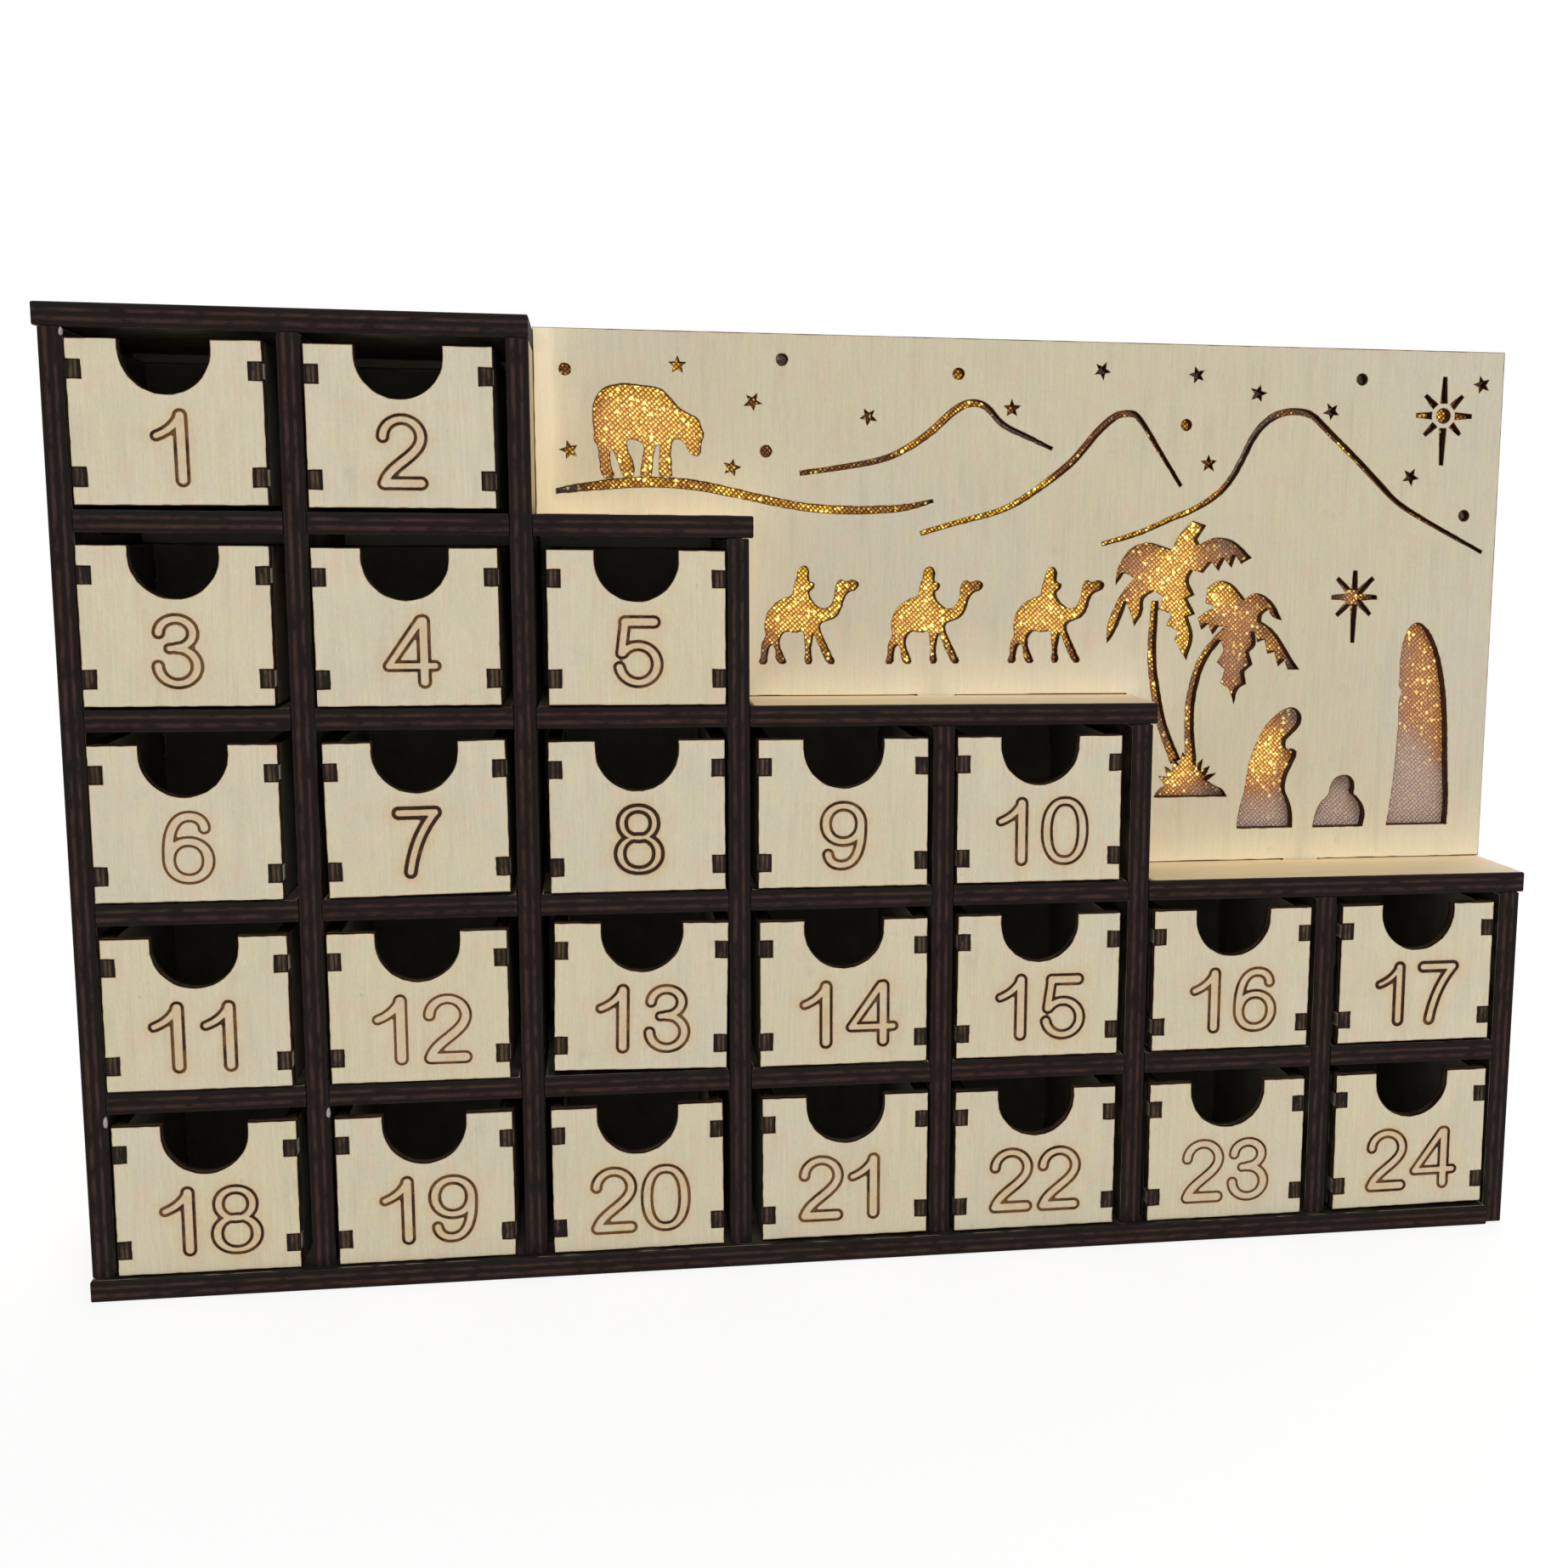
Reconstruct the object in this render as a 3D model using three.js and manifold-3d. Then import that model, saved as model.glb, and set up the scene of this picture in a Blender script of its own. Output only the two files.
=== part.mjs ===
// Wooden drawer advent calendar: a stepped plywood case with 24 small drawers and, over the steps,
// a light box whose pale front panel is cut through with a winter night scene.
// Millimetres, +X to the right, +Y to the back, +Z up; the origin is under the middle of the base.
import * as THREE from 'three';
import { mergeVertices } from 'three/addons/utils/BufferGeometryUtils.js';
import Module from 'manifold-3d';

const wasm = await Module();
wasm.setup();

// Case: counts and sizes
const columnRowCounts = [5, 5, 4, 3, 3, 2, 2];
const cellWidth = 43.2;
const cellHeight = 38.1;
const board = 5;
const caseDepth = 62;
const fitGap = 0.1;
const cutOverrun = 1;
const overhang = 1;
const baseLip = 2;
const lapShare = 0.5;
const uprightTenonWidth = 14;
const uprightTenonShare = 0.74;
const shelfTenonWidth = 16;
const shelfTenonShare = 0.5;
const backThickness = 3;

// Drawers: the gaps round a drawer in its cell, the stock and the thumb notch
const drawerSideGap = 1.6;
const drawerFloorGap = 0.3;
const drawerTopGap = 2.8;
const drawerBackGap = 0.4;
const drawerProud = 0.5;
const drawerWall = 3;
const notchWidthShare = 0.467;
const notchSideHeight = 2.2;
const notchSteps = 16;

// Light box: front panel, top, end wall and the sheet behind the panel
const panelThickness = 3;
const panelSetback = 25;
const panelTabWidth = 9.6;
const lightWall = 3;
const fabricThickness = 0.5;
const fabricInset = 1;

// Lamps on the back wall of the light box
const lampBaseRadius = 4;
const lampBaseHeight = 2;
const lampDomeRadius = 2.5;
const lampDomeHeight = 3;
const lampSides = 12;
const lampRings = 3;

// Battery box in the back wall, its lid and its switch
const batteryBoxWidth = 66;
const batteryBoxHeight = 32;
const batteryBoxDepth = 18;
const batteryBoxWall = 2;
const batteryBoxEndGap = 2.4;
const batteryBoxRise = 6;
const batteryBayShare = 0.8;
const lidThickness = 1.5;
const lidLedge = 1;
const lidGap = 0.3;
const switchPocketWidth = 8;
const switchPocketHeight = 5;
const switchPocketDepth = 3;
const switchKnobWidth = 4;
const switchTravel = 3;
const switchGap = 0.3;

// Cut scene: sizes of the small marks in the night sky
const starPoints = 5;
const starRadius = 2;
const starHollowShare = 0.42;
const skyHoleRadius = 1.35;
const skyHoleSides = 12;

// How each drawer sits in its cell: sideways as a share of the side gap, lift as a share of the top gap,
// and roll in radians
const drawerSeatShares = [
  [-0.62, 0.16, -0.008], [-0.62, 0.16, -0.005], [-0.86, 0.1, -0.001], [-0.55, 0, -0.006], [0.74, 0, 0.001],
  [-0.86, 0, -0.001], [0.12, 0, -0.015], [0.55, 0, -0.0025], [0.1, 0, 0.001], [-0.64, 0.05, -0.0035],
  [-0.68, 0, 0.001], [-0.56, 0, 0], [0.48, 0.14, 0.0197], [0.26, 0.06, -0.001], [-0.38, 0.1, 0.003],
  [-0.04, 0.13, -0.001], [-0.12, 0.16, -0.0034], [-0.5, 0, 0.002], [-0.36, 0, -0.003], [-0.02, 0, -0.0045],
  [0.54, 0.15, 0.0015], [-0.38, 0.05, 0.0005], [0, 0, -0.002], [0.2, 0.14, -0.008],
];

// Shapes of the scene, as shares of each figure's own box
const rayTipShare = 0.5;
const cornerShare = 0.25;
const baseCorners = 2;
const sheepShares = [
  [0.02, 0.5], [0, 0.68], [0.03, 0.85], [0.12, 0.96], [0.28, 1], [0.46, 0.98], [0.6, 0.96], [0.69, 0.87],
  [0.76, 0.76], [0.86, 0.69], [0.95, 0.64], [0.97, 0.55], [1, 0.47], [0.97, 0.38], [0.96, 0.24],
  [0.88, 0.25], [0.84, 0.36], [0.78, 0.43], [0.71, 0.42], [0.69, 0.28], [0.7, 0.12], [0.7, 0], [0.6, 0],
  [0.59, 0.14], [0.61, 0.36], [0.56, 0.36], [0.53, 0.2], [0.52, 0], [0.42, 0], [0.44, 0.16], [0.47, 0.36],
  [0.39, 0.41], [0.3, 0.42], [0.3, 0.3], [0.36, 0.15], [0.36, 0], [0.27, 0], [0.23, 0.15], [0.18, 0.3],
  [0.15, 0.3], [0.15, 0.14], [0.19, 0], [0.08, 0], [0.06, 0.18], [0.05, 0.34], [0.01, 0.4],
];
const camelShares = [
  [0, 0], [0.03, 0.08], [0.03, 0.2], [0.08, 0.28], [0.06, 0.38], [0.08, 0.5], [0.15, 0.6], [0.24, 0.66],
  [0.34, 0.69], [0.35, 0.78], [0.38, 0.88], [0.4, 0.97], [0.46, 1], [0.5, 0.95], [0.49, 0.88], [0.5, 0.83],
  [0.55, 0.82], [0.54, 0.77], [0.49, 0.74], [0.51, 0.66], [0.57, 0.59], [0.64, 0.55], [0.72, 0.58],
  [0.76, 0.68], [0.77, 0.8], [0.81, 0.86], [0.87, 0.83], [0.94, 0.86], [1, 0.82], [0.97, 0.76], [0.9, 0.74],
  [0.85, 0.68], [0.82, 0.56], [0.77, 0.48], [0.68, 0.44], [0.62, 0.42], [0.6, 0.36], [0.66, 0.22],
  [0.72, 0.09], [0.76, 0], [0.69, 0], [0.64, 0.1], [0.58, 0.24], [0.55, 0.33], [0.53, 0.26], [0.51, 0.12],
  [0.53, 0], [0.46, 0], [0.47, 0.13], [0.46, 0.26], [0.45, 0.34], [0.36, 0.32], [0.27, 0.34], [0.21, 0.28],
  [0.2, 0.18], [0.25, 0.06], [0.27, 0], [0.19, 0], [0.17, 0.1], [0.15, 0.2], [0.1, 0.18], [0.08, 0.09],
  [0.08, 0],
];
const firstCrownShares = [
  [0.44, 0.79], [0.5, 0.91], [0.58, 1], [0.67, 0.97], [0.61, 0.87], [0.63, 0.83], [0.74, 0.88],
  [0.86, 0.86], [1, 0.74], [0.93, 0.7], [0.89, 0.76], [0.86, 0.67], [0.81, 0.74], [0.77, 0.65],
  [0.72, 0.71], [0.66, 0.63], [0.59, 0.65], [0.56, 0.58], [0.6, 0.47], [0.55, 0.44], [0.61, 0.33],
  [0.56, 0.31], [0.6, 0.17], [0.56, 0], [0.48, 0.14], [0.5, 0.21], [0.42, 0.25], [0.45, 0.33], [0.37, 0.37],
  [0.39, 0.46], [0.32, 0.5], [0.25, 0.44], [0.24, 0.34], [0.19, 0.25], [0.16, 0.35], [0.13, 0.42],
  [0.09, 0.3], [0.05, 0.2], [0, 0.12], [0.01, 0.26], [0.06, 0.4], [0.12, 0.51], [0.19, 0.59], [0.11, 0.63],
  [0.05, 0.54], [0.08, 0.69], [0.16, 0.8], [0.28, 0.84], [0.38, 0.81],
];
const secondCrownShares = [
  [0.45, 0.85], [0.53, 0.9], [0.64, 0.88], [0.74, 0.8], [0.81, 0.69], [0.72, 0.72], [0.69, 0.78],
  [0.62, 0.73], [0.61, 0.67], [0.72, 0.61], [0.84, 0.48], [0.93, 0.36], [1, 0.28], [0.9, 0.28],
  [0.86, 0.36], [0.8, 0.31], [0.76, 0.43], [0.69, 0.41], [0.66, 0.53], [0.59, 0.51], [0.55, 0.59],
  [0.56, 0.48], [0.5, 0.42], [0.54, 0.32], [0.46, 0.26], [0.48, 0.16], [0.41, 0.12], [0.37, 0],
  [0.32, 0.12], [0.24, 0.17], [0.28, 0.28], [0.2, 0.34], [0.26, 0.44], [0.22, 0.54], [0.28, 0.63],
  [0.2, 0.64], [0.14, 0.57], [0.1, 0.66], [0.03, 0.61], [0, 0.7], [0.1, 0.76], [0.19, 0.79], [0.07, 0.83],
  [0.08, 0.94], [0.18, 1], [0.3, 0.98], [0.38, 0.92],
];
const moundShares = [
  [0, 0], [1, 0], [0.96, 0.12], [0.82, 0.24], [0.72, 0.34], [0.84, 0.5], [0.7, 0.46], [0.76, 0.66],
  [0.63, 0.56], [0.66, 0.82], [0.57, 0.66], [0.53, 0.92], [0.44, 0.84], [0.38, 0.96], [0.34, 0.66],
  [0.26, 0.84], [0.25, 0.54], [0.14, 0.66], [0.19, 0.42], [0.07, 0.44], [0.15, 0.26], [0.06, 0.14],
];
const kneelingShares = [
  [0, 0], [0.9, 0], [0.89, 0.14], [0.82, 0.24], [0.75, 0.31], [0.77, 0.42], [0.86, 0.52], [0.94, 0.62],
  [0.86, 0.66], [0.76, 0.64], [0.73, 0.72], [0.82, 0.77], [0.94, 0.83], [1, 0.91], [0.92, 0.98], [0.78, 1],
  [0.64, 0.95], [0.5, 0.9], [0.36, 0.8], [0.24, 0.66], [0.15, 0.5], [0.12, 0.34], [0.04, 0.18],
];
const bundleShares = [
  [0, 0], [0.96, 0], [0.98, 0.12], [1, 0.26], [0.94, 0.42], [0.84, 0.56], [0.74, 0.62], [0.78, 0.76],
  [0.72, 0.93], [0.56, 1], [0.4, 0.93], [0.31, 0.78], [0.29, 0.6], [0.13, 0.46], [0.04, 0.24],
];
const standingShares = [
  [0, 0], [0.98, 0], [0.99, 0.12], [0.95, 0.28], [0.92, 0.46], [0.87, 0.64], [0.77, 0.8], [0.63, 0.92],
  [0.46, 0.99], [0.3, 1], [0.17, 0.94], [0.11, 0.84], [0.12, 0.74], [0.1, 0.69], [0.17, 0.665],
  [0.12, 0.62], [0.13, 0.46], [0.1, 0.26], [0.05, 0.1],
];

// Places of the figures on the panel: centre and size, as shares of the panel's width and height
const sheepPlaceShares = [0.1095, 0.82, 0.108, 0.168];
const camelPlaceShares = [
  [0.267, 0.486, 0.101, 0.183], [0.395, 0.486, 0.101, 0.183], [0.522, 0.487, 0.101, 0.183],
];
const firstCrownPlaceShares = [0.653, 0.534, 0.153, 0.266];
const secondCrownPlaceShares = [0.73, 0.433, 0.111, 0.237];
const moundPlaceShares = [0.671, 0.175, 0.079, 0.091];
const kneelingPlaceShares = [0.758, 0.185, 0.068, 0.241];
const bundlePlaceShares = [0.838, 0.117, 0.058, 0.105];
const standingPlaceShares = [0.927, 0.269, 0.07, 0.406];

// Rolling hill and mountain lines, and the two palm trunks, as places with the widths along them
const hillShares = [
  [0.02, 0.71], [0.057, 0.72], [0.107, 0.728], [0.156, 0.723], [0.206, 0.705], [0.257, 0.687],
  [0.308, 0.681], [0.36, 0.686], [0.392, 0.7],
];
const hillWidths = [1, 1.9, 2.2, 2.1, 1.8, 1.6, 1.7, 1.4, 0.6];
const firstRidgeShares = [
  [0.258, 0.748], [0.295, 0.758], [0.342, 0.776], [0.372, 0.804], [0.393, 0.833], [0.411, 0.864],
  [0.428, 0.881], [0.445, 0.876], [0.463, 0.843], [0.49, 0.82], [0.514, 0.8],
];
const ridgeWidths = [0.9, 1.2, 1.5, 1.5, 1.2, 0.7];
const secondRidgeShares = [
  [0.38, 0.639], [0.421, 0.662], [0.464, 0.685], [0.495, 0.718], [0.534, 0.774], [0.56, 0.83],
  [0.578, 0.86], [0.591, 0.868], [0.604, 0.861], [0.627, 0.8], [0.651, 0.734],
];
const thirdRidgeShares = [
  [0.569, 0.622], [0.608, 0.644], [0.643, 0.672], [0.67, 0.694], [0.697, 0.73], [0.714, 0.779],
  [0.727, 0.828], [0.742, 0.86], [0.758, 0.875], [0.775, 0.878], [0.791, 0.87], [0.815, 0.831],
  [0.844, 0.783], [0.869, 0.739], [0.893, 0.701], [0.942, 0.652], [0.985, 0.612],
];
const ridgeSteps = 22;
const longRidgeSteps = 32;
const firstTrunkShares = [[0.627, 0.513], [0.625, 0.411], [0.631, 0.328], [0.64, 0.261], [0.654, 0.2]];
const secondTrunkShares = [[0.704, 0.457], [0.68, 0.4], [0.669, 0.327], [0.668, 0.261], [0.671, 0.2]];
const trunkWidths = [1.6, 1.9, 2.1, 2.2, 2.6];
const trunkSteps = 10;

// Sky: small stars with their turns, round holes, and the two large stars
const smallStarShares = [
  [0.138, 0.939], [0.211, 0.876], [0.033, 0.783], [0.19, 0.756], [0.326, 0.853], [0.472, 0.873],
  [0.565, 0.947], [0.665, 0.943], [0.731, 0.911], [0.811, 0.88], [0.68, 0.777], [0.901, 0.757],
  [0.976, 0.937],
];
const starTurnStep = 0.5;
const skyHoleShares = [
  [0.03, 0.927], [0.24, 0.953], [0.417, 0.935], [0.224, 0.787], [0.655, 0.849], [0.843, 0.942],
  [0.963, 0.683],
];
const greatStarShares = [0.9345, 0.876];
const greatStarDiscRadius = 1.8;
const greatStarRayStart = 3.2;
const greatStarRayEnds = [9.5, 7, 7.5, 6.5, 12.2, 6.8, 7.2, 7];
const greatStarRayWidth = 1.6;
const lesserStarShares = [0.8445, 0.522];
const lesserStarDiscRadius = 1.7;
const lesserStarRayEnds = [6.6, 6.8, 6, 6.2, 11.5, 6.4, 6, 6.6];
const lesserStarRayWidth = 1.7;

// Lamp places as shares of the panel's width and height; one more lamp stands between the lowest step's
// wall and the battery box, at shares of that space and of the box's height
const lampShares = [
  [0.107, 0.846], [0.261, 0.492], [0.387, 0.492], [0.515, 0.477], [0.655, 0.526], [0.703, 0.427],
  [0.93, 0.875],
];
const lampSpaceShare = 0.58;
const lampBoxShare = 0.56;

// Sizes that follow from the ones above
const topRow = Math.max(...columnRowCounts);
const lastWall = columnRowCounts.length;
const caseWidth = wallX(lastWall) + board;
const caseHeight = levelZ(topRow) + board;
const backY = caseDepth + fitGap;
const rearY = backY + backThickness;
const lapY = caseDepth * lapShare;
const panelBackY = panelSetback + panelThickness;
const towerWall = columnRowCounts.filter((count) => count === topRow).length;
const panelLeft = wallX(towerWall) + board + fitGap;
const panelRight = caseWidth + overhang;
const lowRow = Math.min(...columnRowCounts);
const panelBottom = levelZ(lowRow) + board + fitGap;
const panelWidth = panelRight - panelLeft;
const panelHeight = caseHeight - panelBottom;
const drawerWidth = cellWidth - 2 * drawerSideGap;
const drawerHeight = cellHeight - drawerFloorGap - drawerTopGap;
const drawerDepth = caseDepth - drawerBackGap + drawerProud;

// Materials, one made fresh for each mesh
const looks = {
  case: { color: '#8f7a5e', roughness: 0.8, metalness: 0 },
  drawer: { color: '#d8ccb0', roughness: 0.75, metalness: 0 },
  panel: { color: '#d9cdb2', roughness: 0.75, metalness: 0 },
  light_box: { color: '#c7b48e', roughness: 0.8, metalness: 0 },
  fabric: { color: '#c9983c', roughness: 0.45, metalness: 0 },
  lamp: { color: '#ffe9b8', roughness: 0.3, metalness: 0 },
  plastic: { color: '#26262a', roughness: 0.5, metalness: 0 },
  knob: { color: '#c8c8c4', roughness: 0.4, metalness: 0 },
};

// Left face of upright number k, counted from the left
function wallX(k) {
  return k * (cellWidth + board);
}

// Underside of shelf number k, counted from the base
function levelZ(k) {
  return k * (cellHeight + board);
}

// Rows of drawers that an upright stands beside
function uprightRows(k) {
  return Math.max(columnRowCounts[k - 1] ?? 0, columnRowCounts[k] ?? 0);
}

// Number of columns that reach a level
function columnsAt(level) {
  return columnRowCounts.filter((count) => count >= level).length;
}

// Solid from a three.js geometry
function toSolid(geometry) {
  geometry.deleteAttribute('normal');
  geometry.deleteAttribute('uv');
  const merged = mergeVertices(geometry);
  const vertProperties = new Float32Array(merged.attributes.position.array);
  const triVerts = new Uint32Array(merged.index.array);
  return new wasm.Manifold(new wasm.Mesh({ numProp: 3, vertProperties, triVerts }));
}

// Box solid between two corners
function boxSolid(x0, x1, y0, y1, z0, z1) {
  const geometry = new THREE.BoxGeometry(x1 - x0, y1 - y0, z1 - z0);
  geometry.translate((x0 + x1) / 2, (y0 + y1) / 2, (z0 + z1) / 2);
  return toSolid(geometry);
}

// Solid of an outline drawn in X and Z, running back from y0 to y1
function uprightOutlineSolid(points, y0, y1) {
  const shape = new THREE.Shape(points.map(([x, z]) => new THREE.Vector2(x, z)));
  const geometry = new THREE.ExtrudeGeometry(shape, { depth: y1 - y0, bevelEnabled: false });
  geometry.rotateX(Math.PI / 2);
  geometry.translate(0, y1, 0);
  return toSolid(geometry);
}

// Geometry of a solid
function toGeometry(solid) {
  const { vertProperties, triVerts } = solid.getMesh();
  const geometry = new THREE.BufferGeometry();
  geometry.setAttribute('position', new THREE.BufferAttribute(new Float32Array(vertProperties), 3));
  geometry.setIndex(new THREE.BufferAttribute(new Uint32Array(triVerts), 1));
  geometry.computeVertexNormals();
  return geometry;
}

// Named mesh with its own material
function named(name, geometry, look) {
  const mesh = new THREE.Mesh(geometry, new THREE.MeshStandardMaterial(looks[look]));
  mesh.name = name;
  return mesh;
}

// Start and end along Y of a tenon of a given width whose middle is at a share of the depth
function tenonRun(width, share) {
  const middle = caseDepth * share;
  return [middle - width / 2, middle + width / 2];
}

// Upright board: end walls and dividers, slotted from the back where shelves cross them
function uprightSolid(k) {
  const x0 = wallX(k);
  const x1 = x0 + board;
  const count = uprightRows(k);
  const isEnd = k === 0 || k === lastWall;
  const bottom = k === lastWall ? 0 : board + fitGap;
  const top = levelZ(count) - fitGap;
  const [t0, t1] = tenonRun(uprightTenonWidth, uprightTenonShare);
  const [s0, s1] = tenonRun(shelfTenonWidth, shelfTenonShare);
  let solid = boxSolid(x0, x1, 0, caseDepth, bottom, top);
  solid = solid.add(boxSolid(x0, x1, t0, t1, top - board, levelZ(count) + board));
  if (k !== lastWall) {
    solid = solid.add(boxSolid(x0, x1, t0, t1, 0, bottom + board));
  }
  for (let level = k === lastWall ? 0 : 1; level < count; level += 1) {
    const z0 = levelZ(level) - fitGap;
    const z1 = levelZ(level) + board + fitGap;
    const y0 = isEnd ? s0 - fitGap : lapY - fitGap;
    const y1 = isEnd ? s1 + fitGap : caseDepth + cutOverrun;
    const low = level === 0 ? -cutOverrun : z0;
    solid = solid.subtract(boxSolid(x0 - cutOverrun, x1 + cutOverrun, y0, y1, low, z1));
  }
  return solid;
}

// Right end of a shelf
function shelfEnd(level) {
  const last = columnsAt(level);
  if (level < lowRow) {
    return wallX(lastWall) - fitGap;
  }
  return wallX(last) + board + (level === topRow ? 0 : overhang);
}

// Left end of a shelf
function shelfStart(level) {
  if (level === 0) {
    return 0;
  }
  return level === topRow ? -overhang : board + fitGap;
}

// Middle of the panel's tab through a step board
function panelTabX(level) {
  const first = columnsAt(level + 1);
  const last = columnsAt(level);
  const isEven = (last - first) % 2 === 0;
  const middleWall = (first + last) / 2;
  return isEven ? wallX(middleWall) + panelTabWidth / 2 : (wallX(first) + wallX(last) + board) / 2;
}

// Shelf, base or top board: slotted from the front where uprights cross it
function shelfSolid(level) {
  const x0 = shelfStart(level);
  const x1 = shelfEnd(level);
  const y0 = level === 0 ? -baseLip : 0;
  const z0 = levelZ(level);
  const z1 = z0 + board;
  const [t0, t1] = tenonRun(uprightTenonWidth, uprightTenonShare);
  const [s0, s1] = tenonRun(shelfTenonWidth, shelfTenonShare);
  const below = z0 - cutOverrun;
  const above = z1 + cutOverrun;
  let solid = boxSolid(x0, x1, y0, caseDepth, z0, z1);
  if (level > 0 && level < topRow) {
    solid = solid.add(boxSolid(0, x0 + board, s0, s1, z0, z1));
  }
  if (level < lowRow) {
    solid = solid.add(boxSolid(x1 - board, caseWidth, s0, s1, z0, z1));
  }
  for (let k = 0; k <= columnsAt(level); k += 1) {
    const left = wallX(k) - fitGap;
    const right = wallX(k) + board + fitGap;
    const endsHere = uprightRows(k) === level || (level === 0 && k < lastWall);
    const crosses = k > 0 && k < lastWall && uprightRows(k) > level && level > 0;
    if (endsHere) {
      solid = solid.subtract(boxSolid(left, right, t0 - fitGap, t1 + fitGap, below, above));
    }
    if (crosses) {
      solid = solid.subtract(boxSolid(left, right, y0 - cutOverrun, lapY + fitGap, below, above));
    }
  }
  if (level >= lowRow && level < topRow) {
    const middle = panelTabX(level);
    const half = panelTabWidth / 2 + fitGap;
    const front = panelSetback - fitGap;
    const back = panelBackY + fitGap;
    solid = solid.subtract(boxSolid(middle - half, middle + half, front, back, below, above));
    if (level > lowRow) {
      solid = solid.subtract(boxSolid(x1 - overhang, x1 + cutOverrun, front, back, below, above));
    }
  }
  return solid;
}

// Stepped sheet that stands on the step boards, between two depths; the insets keep it off its neighbours
function steppedSolid(y0, y1, sideInset, topInset) {
  const right = panelRight - (sideInset ? overhang + lightWall + sideInset : 0);
  const top = caseHeight - topInset;
  let solid = null;
  for (let level = lowRow; level < topRow; level += 1) {
    const left = wallX(columnsAt(level + 1)) + board + fitGap + sideInset;
    const bottom = levelZ(level) + board + fitGap + sideInset;
    const piece = boxSolid(left, right, y0, y1, bottom, top);
    solid = solid ? solid.add(piece) : piece;
  }
  return solid;
}

// Place on the panel from shares of its width and height
function onPanel(shareX, shareZ) {
  return [panelLeft + shareX * panelWidth, panelBottom + shareZ * panelHeight];
}

// Outline with its corners cut once, which rounds a coarse outline; the first few points can stay sharp
function softened(points, sharp = 0) {
  return points.flatMap((point, i) => {
    if (i < sharp) {
      return [point];
    }
    const before = points[(i + points.length - 1) % points.length];
    const after = points[(i + 1) % points.length];
    const [beside, beyond] = [before, after].map((other) =>
      point.map((value, axis) => THREE.MathUtils.lerp(value, other[axis], cornerShare)));
    return [beside, beyond];
  });
}

// Outline given as shares of a box on the panel; the box has its centre, width and height as shares
function motif(outlineShares, [centreX, centreZ, width, height]) {
  return outlineShares.map(([u, v]) => onPanel(centreX + (u - 0.5) * width, centreZ + (v - 0.5) * height));
}

// Ribbon along a smooth line through places on the panel, as wide as the widths say from end to end
function ribbon(placeShares, widths, steps) {
  const places = placeShares.map(([x, z]) => new THREE.Vector2(...onPanel(x, z)));
  const curve = new THREE.SplineCurve(places);
  const upper = [];
  const lower = [];
  for (let i = 0; i <= steps; i += 1) {
    const at = i / steps;
    const point = curve.getPoint(at);
    const along = curve.getTangent(at);
    const slot = at * (widths.length - 1);
    const first = Math.min(Math.floor(slot), widths.length - 2);
    const half = THREE.MathUtils.lerp(widths[first], widths[first + 1], slot - first) / 2;
    upper.push([point.x - along.y * half, point.y + along.x * half]);
    lower.unshift([point.x + along.y * half, point.y - along.x * half]);
  }
  return [...upper, ...lower].reverse();
}

// Regular star with five points
function smallStar([x, z], turn) {
  return Array.from({ length: 2 * starPoints }, (_, i) => {
    const reach = i % 2 === 0 ? starRadius : starRadius * starHollowShare;
    const angle = turn + (i * Math.PI) / starPoints;
    return [x + reach * Math.sin(angle), z + reach * Math.cos(angle)];
  }).reverse();
}

// Round hole
function roundHole([x, z], radius) {
  return Array.from({ length: skyHoleSides }, (_, i) => {
    const angle = (i * 2 * Math.PI) / skyHoleSides;
    return [x + radius * Math.cos(angle), z + radius * Math.sin(angle)];
  });
}

// One tapered ray of a large star
function starRay([x, z], turn, inner, outer, width) {
  const side = [Math.cos(turn), -Math.sin(turn)];
  const out = [Math.sin(turn), Math.cos(turn)];
  const at = (reach, half) => [x + out[0] * reach + side[0] * half, z + out[1] * reach + side[1] * half];
  const tipWidth = width * rayTipShare;
  return [at(inner, -width / 2), at(inner, width / 2), at(outer, tipWidth / 2), at(outer, -tipWidth / 2)];
}

// Every cut in the scene panel as an outline in X and Z
function sceneCuts() {
  const cuts = [
    softened(motif(sheepShares, sheepPlaceShares)),
    ...camelPlaceShares.map((place) => softened(motif(camelShares, place))),
    motif(firstCrownShares, firstCrownPlaceShares),
    motif(secondCrownShares, secondCrownPlaceShares),
    motif(moundShares, moundPlaceShares),
    softened(motif(kneelingShares, kneelingPlaceShares), baseCorners),
    softened(motif(bundleShares, bundlePlaceShares), baseCorners),
    softened(motif(standingShares, standingPlaceShares), baseCorners),
    ribbon(hillShares, hillWidths, ridgeSteps),
    ribbon(firstRidgeShares, ridgeWidths, ridgeSteps),
    ribbon(secondRidgeShares, ridgeWidths, ridgeSteps),
    ribbon(thirdRidgeShares, ridgeWidths, longRidgeSteps),
    ribbon(firstTrunkShares, trunkWidths, trunkSteps),
    ribbon(secondTrunkShares, trunkWidths, trunkSteps),
  ];
  smallStarShares.forEach((place, i) => {
    cuts.push(smallStar(onPanel(...place), i * starTurnStep));
  });
  skyHoleShares.forEach((place) => {
    cuts.push(roundHole(onPanel(...place), skyHoleRadius));
  });
  const great = onPanel(...greatStarShares);
  const lesser = onPanel(...lesserStarShares);
  cuts.push(roundHole(great, greatStarDiscRadius));
  cuts.push(roundHole(lesser, lesserStarDiscRadius));
  const rays = greatStarRayEnds.length;
  for (let i = 0; i < rays; i += 1) {
    const turn = (i * 2 * Math.PI) / rays;
    cuts.push(starRay(great, turn, greatStarRayStart, greatStarRayEnds[i], greatStarRayWidth));
    cuts.push(starRay(lesser, turn, 0, lesserStarRayEnds[i], lesserStarRayWidth));
  }
  return cuts;
}

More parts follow.
